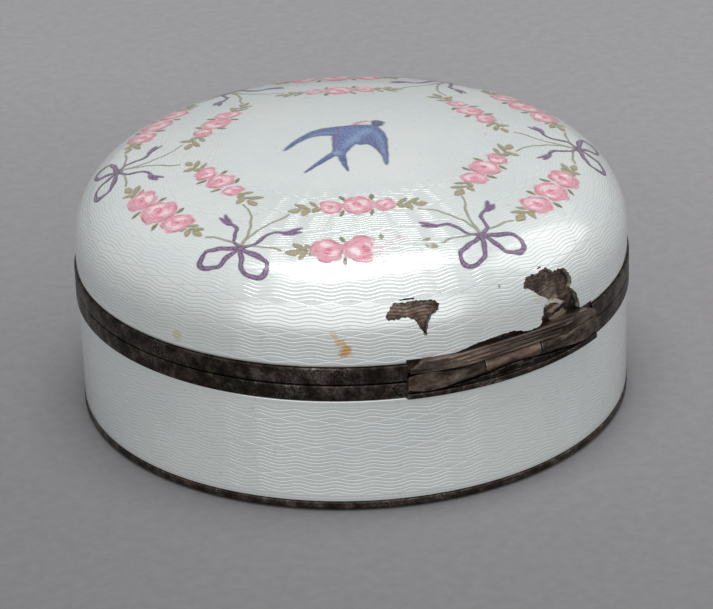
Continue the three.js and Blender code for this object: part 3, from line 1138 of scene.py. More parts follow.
# Degrees, arc length, size, colour and strength of the stains and pits in the lid's enamel.
STAINS = (
    (55.3, 1.35, 0.5, "d59b33", 0.85),
    (54.5, 2.1, 0.42, "dfb25c", 0.7),
    (53.1, 2.75, 0.3, "d9bd80", 0.5),
    (87.7, 4.72, 0.14, "4b3f33", 0.85),
    (64.2, 6.9, 0.09, "6b5c48", 0.7),
    (19.9, 0.9, 0.5, "cdb887", 0.45),
    (101.4, 1.4, 1.5, "c2ad98", 0.75),
    (96.6, 3.0, 0.7, "d9cfc0", 0.5),
)


@dataclass(frozen=True)
class Enamel:
    """Pale translucent enamel over engine-turned silver."""

    name: str
    lines: Turning
    tint: Colour = linear("e9edeb")
    cloud: Colour = linear("e0e7e5")
    depth: float = 0.018
    metallic: float = 0.28
    roughness: float = 0.19
    stains: bool = False

    def build(self, effects: Effects) -> bpy.types.Material:
        """Makes the material.

        Args:
            effects: the shared node groups.

        Returns:
            The material.
        """
        material, w, shader = new_material(self.name)
        place = w.objects()
        height, line = self.lines.build(w, effects, place)
        broad = w.span(w.noise(place, 90.0, 3, 0.55), 0.35, 0.65)
        fine = w.noise(w.moved(place, (0.4, 0.2, 0.1)), 1500.0, 2, 0.5)
        colour = w.mix(broad, self.tint, self.cloud)
        colour = w.mix(w.span(fine, 0.3, 0.75, 0.0, 0.12), colour, linear("f4f6f3"))
        colour = w.mix(w.times(line, 0.06), colour, linear("a9b6b2"))
        specks = w.span(w.noise(w.moved(place, (0.9, 0.5, 0.2)), 2100.0, 0, 0.5), 0.78, 0.82)
        colour = w.mix(w.times(specks, 0.15), colour, linear("8f8f86"))
        if self.stains:
            colour = self.stained(w, place, colour)
        w.feed(shader.inputs["Base Color"], colour)
        shader.inputs["Metallic"].default_value = self.metallic
        w.feed(
            shader.inputs["Roughness"], w.span(fine, 0.2, 0.8, self.roughness - 0.04, self.roughness + 0.06)
        )
        w.bump(shader, height, self.depth)
        glaze(shader)
        return material

    def stained(self, w: Wiring, place: Any, colour: Any) -> Socket:
        """Adds an amber stain, dark pits and dirt along the lower edge.

        Args:
            w: the material's wiring.
            place: object coordinates.
            colour: the colour so far.

        Returns:
            The stained colour.
        """
        ragged = w.ragged(place, 1900.0, 0.6, 0.9)
        for degrees, arc, size, tint, strength in STAINS:
            edge = w.plus(w.away(place, degrees, arc), ragged)
            mask = w.span(edge, size * 0.55 * MM, size * 1.15 * MM, strength, 0.0)
            colour = w.mix(mask, colour, linear(tint))
        arc = w.arc()
        dirt = w.times(w.span(arc, 0.03, 0.2, 0.75, 0.0),
            w.span(w.noise(place, 700.0, 3, 0.6), 0.35, 0.65, 0.25, 1.0),
        )
        return w.mix(dirt, colour, linear("8d8064"))


# Degrees, arc length and size of the worn places in the painting.
WORN_ROSES = ((67.4, 9.6, 1.9), (71.4, 9.3, 1.6))


@dataclass(frozen=True)
class PaintedEnamel:
    """Painting fused into the enamel, with the engine turning showing faintly through."""

    name: str = "painted"
    lines: Turning = DOME_LINES
    depth: float = 0.03
    faded: tuple[tuple[float, float, float], ...] = ()

    def build(self, effects: Effects) -> bpy.types.Material:
        """Makes the material.

        Args:
            effects: the shared node groups.

        Returns:
            The material.
        """
        material, w, shader = new_material(self.name)
        place = w.objects()
        height, line = self.lines.build(w, effects, place)
        paint = w.add("ShaderNodeAttribute", attribute_name="paint")
        grain = w.noise(place, 5200.0, 2, 0.6)
        colour = w.mix(w.span(grain, 0.3, 0.7, 0.0, 0.16), paint.outputs["Color"], linear("f3e9ea"))
        colour = w.mix(w.times(line, 0.1), colour, linear("efe6e6"))
        w.feed(shader.inputs["Base Color"], colour)
        cover = w.times(paint.outputs["Alpha"], w.span(grain, 0.25, 0.6, 0.8, 1.0))
        for degrees, arc, size in self.faded:
            edge = w.plus(w.away(place, degrees, arc), w.ragged(place, 1500.0, 0.65, 2.4))
            cover = w.times(cover, w.span(edge, size * 0.75 * MM, size * 1.2 * MM, 0.12, 1.0))
        w.feed(shader.inputs["Alpha"], cover)
        shader.inputs["Metallic"].default_value = 0.0
        shader.inputs["Roughness"].default_value = 0.4
        w.bump(shader, height, self.depth)
        glaze(shader)
        return material


@dataclass(frozen=True)
class Fracture:
    """Broken, matt edge of the enamel round a loss."""

    name: str = "fracture"
    depth: float = 0.04

    def build(self, effects: Effects) -> bpy.types.Material:
        """Makes the material.

        Args:
            effects: the shared node groups.

        Returns:
            The material.
        """
        material, w, shader = new_material(self.name)
        place = w.objects()
        grain = w.noise(place, 3800.0, 3, 0.6)
        colour = w.mix(w.span(grain, 0.3, 0.7), linear("9a9a8d"), linear("4f473c"))
        w.feed(shader.inputs["Base Color"], colour)
        shader.inputs["Roughness"].default_value = 0.35
        w.bump(shader, grain, self.depth)
        return material


@dataclass(frozen=True)
class Silver:
    """Silver that is anything from dull to black with age."""

    name: str
    dark: Colour = linear("1d1815")
    brown: Colour = linear("453a34")
    bare: Colour = linear("8d7f77")
    bareness: float = 0.35
    scratched: float = 0.5
    worn: float = 0.5
    scale: float = 900.0
    metallic: float = 0.85
    rough: tuple[float, float] = (0.32, 0.55)
    depth: float = 0.03
    turned: Turning | None = None
    stretch: float = 1.0

    def build(self, effects: Effects) -> bpy.types.Material:
        """Makes the material.

        Args:
            effects: the shared node groups.

        Returns:
            The material.
        """
        material, w, shader = new_material(self.name)
        place = w.moved(w.objects(), scale=(self.stretch, 1, 1))
        tarnish = w.group(
            effects.tarnish, Place=place, Scale=self.scale, Dark=self.dark, Brown=self.brown,
            Bare=self.bare, Bareness=self.bareness,
        )
        scratch = w.group(effects.scratches, Place=place, Amount=self.scratched).outputs["Mask"]
        geometry = w.add("ShaderNodeNewGeometry")
        bevel = w.add("ShaderNodeBevel", samples=4)
        bevel.inputs["Radius"].default_value = 0.09 * MM
        wear = w.group(
            effects.wear, Round=bevel.outputs[0], Flat=geometry.outputs["Normal"], Place=place,
            Amount=self.worn,
        ).outputs["Mask"]
        light = w.math("MAXIMUM", wear, scratch)
        colour = w.mix(light, tarnish.outputs["Colour"], w.mix(0.45, self.bare, linear("d8d2ca")))
        colour = w.mix(w.times(tarnish.outputs["Spots"], 0.7), colour, self.dark)
        grain = w.noise(place, 6200.0, 3, 0.6)
        height = w.times(grain, 0.35)
        if self.turned:
            lines, mask = self.turned.build(w, effects, place)
            colour = w.mix(w.times(mask, 0.5), colour, linear("2c211a"))
            colour = self.blackened(w, place, colour)
            height = w.plus(height, w.times(lines, 0.6))
        w.feed(shader.inputs["Base Color"], colour)
        shader.inputs["Metallic"].default_value = self.metallic
        low, high = self.rough
        w.feed(
            shader.inputs["Roughness"],
            w.span(w.minus(grain, w.times(light, 0.4)), 0.2, 0.75, low, high),
        )
        w.bump(shader, height, self.depth, 0.6)
        return material

    def blackened(self, w: Wiring, place: Any, colour: Any) -> Socket:
        """Blackens the metal beside the hinge strip, with crumbs of enamel left in it.

        Args:
            w: the material's wiring.
            place: object coordinates.
            colour: the colour so far.

        Returns:
            The darkened colour.
        """
        level = w.plus(w.arc(), w.span(w.noise(place, 1100.0, 3, 0.6), 0.3, 0.7, -0.7, 0.7))
        colour = w.mix(w.span(level, 0.7, 1.7, 0.9, 0.0), colour, linear("15110e"))
        streaks = w.span(w.noise(w.moved(place, scale=(0.7, 1, 1.8)), 900.0, 3, 0.6), 0.46, 0.56)
        near = w.span(w.away(place, 101.8, 1.2, -0.4), 1.2 * MM, 1.9 * MM, 0.85, 0.0)
        return w.mix(w.times(streaks, near), colour, linear("c0ab97"))


# -------------------------------------------------------------- geometry nodes


def run_tree(thing: Thing, tree: bpy.types.NodeTree, **inputs: Any) -> Thing:
    """Runs a Geometry Nodes tree on an object and keeps the result as a plain mesh.

    Args:
        thing: the object whose mesh goes in.
        tree: the node tree.
        inputs: values of the tree's inputs, by name.

    Returns:
        The same object with its new mesh.
    """
    step = thing.modifiers.new("nodes", "NODES")
    step.node_group = tree
    for item in tree.interface.items_tree:
        if item.item_type == "SOCKET" and item.in_out == "INPUT" and item.name in inputs:
            step[item.identifier] = inputs[item.name]
    return applied(thing)


def end_with_finish(w: Wiring, copies: Node, ins: Node, outs: Node) -> None:
    """Ends a Geometry Nodes tree by making its copies real and dressing them."""
    real = w.add("GeometryNodeRealizeInstances", copies.outputs[0])
    dressed = w.add("GeometryNodeSetMaterial")
    w.feed(dressed.inputs["Geometry"], real.outputs[0])
    w.feed(dressed.inputs["Material"], ins.outputs["Finish"])
    w.feed(outs.inputs[0], dressed.outputs[0])


def ring_tree() -> bpy.types.NodeTree:
    """Copies a piece at equal steps round the Z axis.

    Returns:
        The Geometry Nodes tree.
    """
    inputs = {
        "Geometry": ("NodeSocketGeometry", None), "Count": ("NodeSocketInt", 2), "Turn": (FLOAT, 0.0),
        "Finish": ("NodeSocketMaterial", None),
    }
    tree, ins, outs = new_group(
        "ring_of_copies", inputs, {"Geometry": "NodeSocketGeometry"}, "GeometryNodeTree"
    )
    tree.is_modifier = True
    w = Wiring(tree)
    points = w.add("GeometryNodePoints", ins.outputs["Count"])
    index = w.add("GeometryNodeInputIndex").outputs[0]
    step = w.math("DIVIDE", TAU, ins.outputs["Count"])
    turn = w.plus(w.times(index, step), ins.outputs["Turn"])
    spin = w.add("ShaderNodeCombineXYZ", 0.0, 0.0, turn).outputs[0]
    copies = w.add("GeometryNodeInstanceOnPoints")
    w.feed(copies.inputs["Points"], points.outputs[0])
    w.feed(copies.inputs["Instance"], ins.outputs["Geometry"])
    w.feed(copies.inputs["Rotation"], spin)
    end_with_finish(w, copies, ins, outs)
    return tree


def ribs_tree() -> bpy.types.NodeTree:
    """Lays round ribs along X, side by side.

    Returns:
        The Geometry Nodes tree.
    """
    inputs = {
        "Geometry": ("NodeSocketGeometry", None),
        "Count": ("NodeSocketInt", 3),
        "Start": (VECTOR, None),
        "Step": (VECTOR, None),
        "Radius": (FLOAT, 0.001),
        "Length": (FLOAT, 0.01),
        "Finish": ("NodeSocketMaterial", None),
    }
    tree, ins, outs = new_group("ribs", inputs, {"Geometry": "NodeSocketGeometry"}, "GeometryNodeTree")
    tree.is_modifier = True
    w = Wiring(tree)
    line = w.add("GeometryNodeMeshLine", mode="OFFSET")
    w.feed(line.inputs["Count"], ins.outputs["Count"])
    w.feed(line.inputs["Start Location"], ins.outputs["Start"])
    w.feed(line.inputs["Offset"], ins.outputs["Step"])
    rod = w.add("GeometryNodeMeshCylinder")
    rod.inputs["Vertices"].default_value = 24
    rod.inputs["Side Segments"].default_value = 40
    w.feed(rod.inputs["Radius"], ins.outputs["Radius"])
    w.feed(rod.inputs["Depth"], ins.outputs["Length"])
    copies = w.add("GeometryNodeInstanceOnPoints")
    w.feed(copies.inputs["Points"], line.outputs[0])
    w.feed(copies.inputs["Instance"], rod.outputs[0])
    copies.inputs["Rotation"].default_value = (0, math.pi / 2, 0)
    end_with_finish(w, copies, ins, outs)
    return tree


# ------------------------------------------------------------------ assemblies


@dataclass
class Workshop:
    """Everything the assemblies share."""

    effects: Effects
    ring: bpy.types.NodeTree
    ribs: bpy.types.NodeTree
    materials: dict[str, bpy.types.Material]

    def finish(
        self, thing: Thing, material: str, body: Body, slot: Slot, nodes: Sequence[str] = ()
    ) -> Thing:
        """Dresses a piece and ties it to its body.

        Args:
            thing: the piece.
            material: name of its finish.
            body: the half it moves with.
            slot: its finish slot; not used.
            nodes: the nodes it stands for.

        Returns:
            The piece.
        """
        if not thing.data.materials:
            thing.data.materials.append(self.materials[material])
        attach(thing, body.value)
        if nodes:
            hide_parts(*nodes)
        LOG.info("%s: %d faces", thing.name, len(thing.data.polygons))
        return thing


def wall_arc(r: np.ndarray, z: np.ndarray) -> np.ndarray:
    """Height above the lower edge of the base's enamel."""
    return z - WALL_LOW


def depth_of(mesh: bpy.types.Mesh) -> np.ndarray:
    """How far each face's middle lies below the lid's outer surface."""
    co = np.array([p.center for p in mesh.polygons]) / MM
    r, z = np.hypot(co[:, 0], co[:, 1]), co[:, 2]
    on = DOME.at(DOME.arc_of(r, z))
    return np.hypot(on[0] - r, on[1] - z)


@dataclass
class Loss:
    """A patch where the enamel has broken away, as a closed outline of degrees and arc length."""

    outline: tuple[Point, ...]
    seed: int
    rough: float = 0.07
    taper: float = 0.07
    islands: tuple[tuple[Point, ...], ...] = ()

    def ragged(self) -> np.ndarray:
        """Outline in radians and arc length, with a finely broken edge."""
        rng = np.random.default_rng(self.seed)
        pts = np.array(self.outline)
        radius = float(DOME.at(np.array([pts[:, 1].mean()]))[0][0])
        flat = np.stack([np.radians(pts[:, 0]) * radius, pts[:, 1]], 1)
        ring = []
        for a, b in zip(flat, np.roll(flat, -1, 0)):
            steps = max(1, int(np.linalg.norm(b - a) / 0.14))
            side = np.array([-(b - a)[1], (b - a)[0]]) / max(np.linalg.norm(b - a), 1e-6)
            for k in range(steps):
                push = rng.uniform(-1, 1) * self.rough * (0.3 if k == 0 else 1.0)
                ring.append(a + (b - a) * k / steps + side * push)
        ring = np.array(ring)
        return np.stack([ring[:, 0] / radius, ring[:, 1]], 1)

    def cutter(self) -> Thing:
        """Solid that cuts the patch out of the enamel, narrower at the bottom.

        Returns:
            The cutting tool.
        """
        edge = self.ragged()
        radius = float(DOME.at(np.array([edge[:, 1].mean()]))[0][0])
        flat = np.stack([edge[:, 0] * radius, edge[:, 1]], 1)
        low, high = flat.min(0), flat.max(0)
        grid = [
            Vector((x, y))
            for x in np.arange(low[0] + 0.25, high[0], 0.45) for y in np.arange(low[1] + 0.2, high[1], 0.45)
        ]
        points = [Vector(p) for p in flat.tolist()]
        n = len(points)
        verts, _, faces, origin, _, _ = delaunay_2d_cdt(points + grid, [], [list(range(n))], 1, 1e-5)
        flat = np.array([tuple(v) for v in verts])
        centre = flat.mean(0)
        sides = [side for f in faces for side in zip(f, [*f[1:], f[0]])]
        count: dict[tuple[int, ...], int] = {}
        for side in sides:
            key = tuple(sorted(side))
            count[key] = count.get(key, 0) + 1
        border = [side for side in sides if count[tuple(sorted(side))] == 1]
        reach = np.linalg.norm(flat - centre, axis=1, keepdims=True)
        pull = self.taper * reach / max(reach.max(), 1e-6)
        pull[sorted({i for side in border for i in side})] = self.taper
        inner = flat - (flat - centre) / np.maximum(reach, 1e-6) * pull
        top = DOME.place(flat[:, 0] / radius, flat[:, 1], 0.3)
        bottom = DOME.place(inner[:, 0] / radius, inner[:, 1], -0.5)
        used = sorted({i for f in faces for i in f})
        index = {old: new for new, old in enumerate(used)}
        u = len(used)
        shell = [[index[i] for i in f] for f in faces]
        shell += [[index[i] + u for i in reversed(f)] for f in faces]
        shell += [[index[b], index[a], index[a] + u, index[b] + u] for a, b in border]
        points_3d = np.concatenate([top[used], bottom[used]])
        a, b, c = (points_3d[i] for i in shell[0][:3])
        if np.dot(np.cross(b - a, c - a), a - np.array([0, 0, 12.0])) < 0:
            shell = [list(reversed(f)) for f in shell]
        tool = build_object("tool", points_3d, shell)
        if self.islands:
            kept = [
                Loss(outline, self.seed + k + 1, self.rough, 0.0).cutter()
                for k, outline in enumerate(self.islands)
            ]
            combine(tool, kept, Cut.REMOVE)
        return tool


LOSSES = (
    Loss(
        (
            (63.2, 3.87), (63.6, 4.25), (64.9, 4.92), (70.5, 4.95), (73.6, 4.8), (74.4, 4.5), (74.1, 4.0),
            (72.9, 3.75), (72.1, 3.33), (71.6, 3.0), (71.4, 2.2), (70.8, 2.13), (70.3, 2.6), (69.7, 3.0),
            (68.8, 3.5), (67.5, 3.75), (63.8, 3.58),
        ),
        11,
    ),
    Loss(((65.8, 5.08), (67.5, 5.2), (69.5, 5.16), (69.4, 5.04), (67.5, 5.04)), 12, 0.02, 0.02),
    Loss(
        (
            (93.2, 4.0), (93.4, 4.25), (94.2, 4.7), (95.6, 4.78), (97.2, 4.72), (98.4, 4.85),
            (100.3, 4.9), (101.0, 4.6), (101.6, 4.35), (103.4, 4.4), (104.6, 4.3), (105.6, 4.0),
            (106.3, 3.4), (106.3, 2.9), (105.6, 2.6), (106.7, 2.15), (107.8, 1.6), (108.6, 0.9),
            (109.0, 0.3), (109.6, -0.6), (97.4, -0.6), (97.6, 0.5), (96.9, 1.05), (97.6, 1.3),
            (97.5, 1.9), (98.9, 2.4), (98.2, 2.7), (97.0, 2.95), (95.6, 3.45), (94.4, 3.8),
        ),
        13,
        islands=(
            (
                (96.9, 2.2), (99.0, 2.3), (101.3, 2.2), (103.1, 1.75), (102.5, 1.6), (101.0, 1.93),
                (99.2, 2.05), (96.9, 2.02),
            ),
        ),
    ),
    Loss(((97.7, 5.02), (98.4, 5.12), (99.1, 5.1), (99.0, 4.99), (98.1, 4.98)), 14, 0.02, 0.02),
    Loss(
        (
            (71.4, -0.6), (71.4, 0.15), (77.6, 0.35), (81.8, 0.8), (86.1, 0.92), (89.9, 0.92),
            (92.2, 0.65), (94.4, 0.45), (96.6, 0.5), (97.8, 1.05), (98.2, -0.6),
        ),
        15,
        0.05,
    ),
)


@dataclass(frozen=True)
class Hinge:
    """Sizes that both halves share at the hinge."""

    y: float = 21.65
    z: float = 10.8
    half: float = 8.9
    rounding: float = 22.9
    tube: float = 0.75
    bore: float = 0.38
    loose_bore: float = 0.43
    base_joint: float = 2.7
    lid_joint: float = 2.6
    leaf_half: float = 8.7

    @property
    def axis(self) -> Point:
        """Where the axis crosses the plane through the middle of the hinge."""
        return self.y, self.z

    def opening(self, top: float) -> Thing:
        """Block that makes room for the lid's strip, up to a height."""
        half = self.leaf_half + 0.03
        return block((-half, 10, 8), (half, 30, top))


HINGE = Hinge()


def hoop(name: str, inner: float, outer: float, low: float, high: float, soft: float) -> Thing:
    """A ring of rectangular section with softened edges."""
    return turned(name, softened([(inner, low), (outer, low), (outer, high), (inner, high)], soft), 360)


@dataclass
class BaseHalf:
    """The lower half: foot, engine-turned and enamelled wall, rim with its knuckles, and the raised bezel."""

    foot_top: float = 0.72
    wall_low: float = WALL_LOW
    wall_high: float = 9.42
    rim_low: float = 9.45
    rim_high: float = 10.75
    rim_radius: float = 22.5
    rim_inner: float = 21.33
    seat_high: float = 9.9
    enamel_radius: float = 22.33

    def build(self, shop: Workshop) -> None:
        """Builds and dresses every piece of the base.

        Args:
            shop: materials and node groups.
        """
        top = self.foot_top
        profile = [(20.7, 0), (22.16, 0), (22.38, 0.22), (22.38, top), (20.7, top)]
        foot = turned("foot_ring_look", softened(profile, 0.1))
        shop.finish(foot, "foot", Body.BASE, Slot.SILVER, ["foot_ring"])
        rings = (0, 6, 12, 18, 21.3)
        profile = [(r, 0.88) for r in rings] + [(r, 1.3) for r in rings[::-1]]
        plate = turned("base_plate_look", profile, 192)
        shop.finish(plate, "lining", Body.BASE, Slot.LINING, ["base_plate"])
        low, high = self.wall_low, self.wall_high
        profile = [(21.33, low), (21.93, low), (21.93, high), (21.33, high)]
        wall = turned("base_wall_look", softened(profile, 0.04, 2))
        shop.finish(wall, "lining", Body.BASE, Slot.LINING, ["base_wall"])
        self.build_enamel(shop)
        self.build_rim(shop)
        self.build_bezel(shop)
        self.build_hinge(shop)

    def build_enamel(self, shop: Workshop) -> None:
        """Builds the wall's enamel, slightly pulled in at both edges."""
        low, high, r = self.wall_low, self.wall_high, self.enamel_radius
        outer = [(21.96, low), (r - 0.1, low), (r - 0.03, low + 0.05), (r, low + 0.16)]
        outer += [(r, z) for z in np.linspace(low + 0.5, high - 0.5, 14)]
        outer += [(r, high - 0.16), (r - 0.03, high - 0.05), (r - 0.1, high), (21.96, high)]
        enamel = turned("base_enamel_look", outer, 360, 60)
        store_arc(enamel, wall_arc)
        shop.finish(enamel, "wall_enamel", Body.BASE, Slot.ENAMEL, ["base_enamel"])

    def build_rim(self, shop: Workshop) -> None:
        """Builds the rim with the groove the knuckles lie in."""
        rim = hoop("base_rim_look", self.rim_inner, self.rim_radius, self.rim_low, self.rim_high, 0.13)
        seat = hoop("tool", 22.0, HINGE.rounding, self.rim_low, self.seat_high, 0.1)
        combine(seat, [block((-HINGE.half, 10, 8), (HINGE.half, 30, 14))], Cut.KEEP_COMMON)
        combine(rim, [seat], Cut.JOIN)
        reach, wide = HINGE.half + 0.1, HINGE.tube + 0.15
        groove = turned_along_x("tool", [(0, -reach), (wide, -reach), (wide, reach), (0, reach)], HINGE.axis)
        combine(rim, [groove], Cut.REMOVE)
        shop.finish(rim, "band", Body.BASE, Slot.SILVER, ["base_rim"])

    def build_bezel(self, shop: Workshop) -> None:
        """Builds the bezel that the lid closes over."""
        profile = softened(
            [(20.8, 7.4), (21.3, 7.4), (21.3, 11.8), (21.1, 12.0), (20.9, 12.0), (20.8, 11.9)], 0.1
        )
        bezel = turned("base_bezel_look", profile)
        reach = HINGE.half + 0.6
        combine(bezel, [block((-reach, 10, 9.7), (reach, 30, 14))], Cut.REMOVE)
        shop.finish(bezel, "lining", Body.BASE, Slot.LINING, ["base_bezel"])

    def build_hinge(self, shop: Workshop) -> None:
        """Builds the two outer knuckles, filed flush at their ends, and the pin."""
        near, far, soft = HINGE.base_joint, HINGE.half, 0.06
        blind = near + (far - near) * 0.42
        profile = [(HINGE.bore, near), (HINGE.tube - 0.05, near), (HINGE.tube, near + soft)]
        profile += [(HINGE.tube, x) for x in np.linspace(near + 2 * soft, far, 24)]
        profile += [(0, far), (0, blind), (HINGE.bore, blind)]
        for name, side in (("base_knuckle_left", -1), ("base_knuckle_right", 1)):
            knuckle = turned_along_x(f"{name}_look", [(r, side * x) for r, x in profile], HINGE.axis)
            combine(knuckle, [drum(HINGE.rounding)], Cut.KEEP_COMMON)
            shop.finish(knuckle, "hinge", Body.BASE, Slot.SILVER, [name])
        ends = [(0, -4.9), (0.27, -4.9), (0.35, -4.82), (0.35, 4.82), (0.27, 4.9), (0, 4.9)]
        pin = turned_along_x("hinge_pin_look", ends, HINGE.axis, 32)
        shop.finish(pin, "pin", Body.BASE, Slot.PIN, ["hinge_pin"])


@dataclass
class LidHalf:
    """The upper half: rim, domed silver shell, chipped enamel, thumb lip and the lid's part of the hinge."""

    rim_low: float = 10.85
    rim_high: float = 12.2
    rim_inner: float = 21.52
    rim_radius: float = 22.5
    enamel_depth: float = 0.37
    shell_outer: float = 0.4
    shell_inner: float = 0.81

    def build(self, shop: Workshop) -> None:
        """Builds and dresses every piece of the lid.

        Args:
            shop: materials and node groups.
        """
        self.build_rim(shop)
        self.build_shell(shop)
        self.build_enamel(shop)
        self.build_lip(shop)
        self.build_hinge(shop)

    def build_rim(self, shop: Workshop) -> None:
        """Builds the lid's rim, opened where the hinge strip sits."""
        rim = hoop("lid_rim_look", self.rim_inner, self.rim_radius, self.rim_low, self.rim_high, 0.13)
        combine(rim, [HINGE.opening(14)], Cut.REMOVE)
        shop.finish(rim, "band", Body.LID, Slot.SILVER, ["lid_rim"])

    def build_shell(self, shop: Workshop) -> None:
        """Builds the domed silver under the enamel."""
        outer = DOME.outline(-self.shell_outer)
        inner = DOME.outline(-self.shell_inner, False)
        shell = turned("lid_shell_look", inner[::-1] + outer, 288, 50)
        store_arc(shell, DOME.arc_of)
        mesh = shell.data
        mesh.materials.append(shop.materials["under_enamel"])
        mesh.materials.append(shop.materials["lining"])
        depth = depth_of(mesh)
        mesh.polygons.foreach_set("material_index", (depth > 0.6).astype(np.int32))
        shop.finish(shell, "under_enamel", Body.LID, Slot.LINING, ["lid_shell"])

    def build_enamel(self, shop: Workshop) -> None:
        """Builds the lid's enamel with its losses cut out."""
        outer = DOME.outline(0.0)
        r, foot = DOME.radius, DOME.foot
        rounded = [(r - 0.12, foot), (r - 0.04, foot + 0.04), (r, foot + 0.14)]
        inner = DOME.outline(-self.enamel_depth, False)
        enamel = turned("lid_enamel_look", inner[::-1] + rounded + outer[1:], 320, 60)
        tools = [HINGE.opening(12.55)] + [loss.cutter() for loss in LOSSES]
        combine(enamel, tools, Cut.REMOVE, 50)
        store_arc(enamel, DOME.arc_of)
        mesh = enamel.data
        mesh.materials.append(shop.materials["lid_enamel"])
        mesh.materials.append(shop.materials["fracture"])
        depth = depth_of(mesh)
        height = np.array([p.center.z for p in mesh.polygons]) / MM
        broken = (depth > 0.03) & (depth < 0.34) & (height > foot + 0.1)
        mesh.polygons.foreach_set("material_index", broken.astype(np.int32))
        shop.finish(enamel, "lid_enamel", Body.LID, Slot.ENAMEL, ["lid_enamel"])

    def build_lip(self, shop: Workshop) -> None:
        """Builds the small thumb lip opposite the hinge."""
        half, inner, least, reach = 3.2, 22.2, 22.32, 22.9
        spread = [
            (t, least + (reach - least) * math.sqrt(max(0.0, 1 - t**4)) ** 0.8)
            for t in np.linspace(-1, 1, 25)
        ]
        spread += [(t, inner) for t in np.linspace(1, -1, 13)]
        outline = []
        for t, r in spread:
            a = -math.pi / 2 + t * half / self.rim_radius
            outline.append((r * math.cos(a), r * math.sin(a)))
        n = len(outline)
        levels = [(10.95, 0.07), (11.02, 0.0), (11.58, 0.0), (11.65, 0.07)]
        verts = []
        for z, inset in levels:
            for x, y in outline:
                r = math.hypot(x, y)
                k = max(inner, r - inset) / r
                verts.append((x * k, y * k, z))
        faces: list[list[int]] = [list(range(n))[::-1], [3 * n + i for i in range(n)]]
        for s in range(3):
            faces += [
                [s * n + i, s * n + (i + 1) % n, (s + 1) * n + (i + 1) % n, (s + 1) * n + i]
                for i in range(n)
            ]
        lip = build_object("thumb_lip_look", np.array(verts), faces, 50)
        shop.finish(lip, "band", Body.LID, Slot.SILVER, ["thumb_lip"])

    def build_hinge(self, shop: Workshop) -> None:
        """Builds the ribbed strip above the knuckles and the middle knuckle."""
        bottom, top = HINGE.z + 0.82, 12.52
        outline = [(20.0, bottom), (22.55, bottom), (22.42, 11.82), (22.02, top), (20.0, top)]
        strip = extruded_along_x("lid_hinge_leaf_look", softened(outline, 0.06, 3), HINGE.leaf_half, 40)
        ends = []
        for side in (-1, 1):
            wedge = block((-3, -3, 0), (3, 3, 2))
            shift = Matrix.Translation(Vector((side * 7.6, 22, top - 0.02)) * MM)
            wedge.data.transform(shift @ Matrix.Rotation(side * math.radians(27), 4, "Y"))
            combine(wedge, [drum(22.3)], Cut.REMOVE)
            ends.append(wedge)
        ribs = build_object("ribs", np.zeros((0, 3)), [])
        start, stop = np.array([0, 22.38, 11.86]), np.array([0, 22.08, 12.4])
        step = (stop - start) / 2
        run_tree(
            ribs, shop.ribs, Count=3, Start=tuple(start * MM), Step=tuple(step * MM), Radius=0.13 * MM,
            Length=2 * HINGE.leaf_half * MM, Finish=shop.materials["leaf"],
        )
        combine(strip, [ribs], Cut.JOIN)
        combine(strip, [drum(HINGE.rounding)], Cut.KEEP_COMMON)
        combine(strip, ends, Cut.REMOVE)
        lower = turned("tool", [(0, 5), (21.52, 5), (21.52, 12.2), (21.96, 12.2), (21.96, 20), (0, 20)])
        combine(strip, [lower], Cut.REMOVE)
        shop.finish(strip, "leaf", Body.LID, Slot.SILVER, ["lid_hinge_leaf"])
        end = HINGE.lid_joint
        half = [(HINGE.tube, end - 0.05), (HINGE.tube - 0.05, end), (HINGE.loose_bore, end)]
        middle = [(HINGE.tube, x) for x in np.linspace(0.3 - end, end - 0.3, 12)]
        profile = [(r, -x) for r, x in reversed(half)] + middle + half
        knuckle = turned_along_x("lid_knuckle_look", profile, HINGE.axis)
        combine(knuckle, [drum(HINGE.rounding)], Cut.KEEP_COMMON)
        shop.finish(knuckle, "middle_knuckle", Body.LID, Slot.SILVER, ["lid_knuckle"])


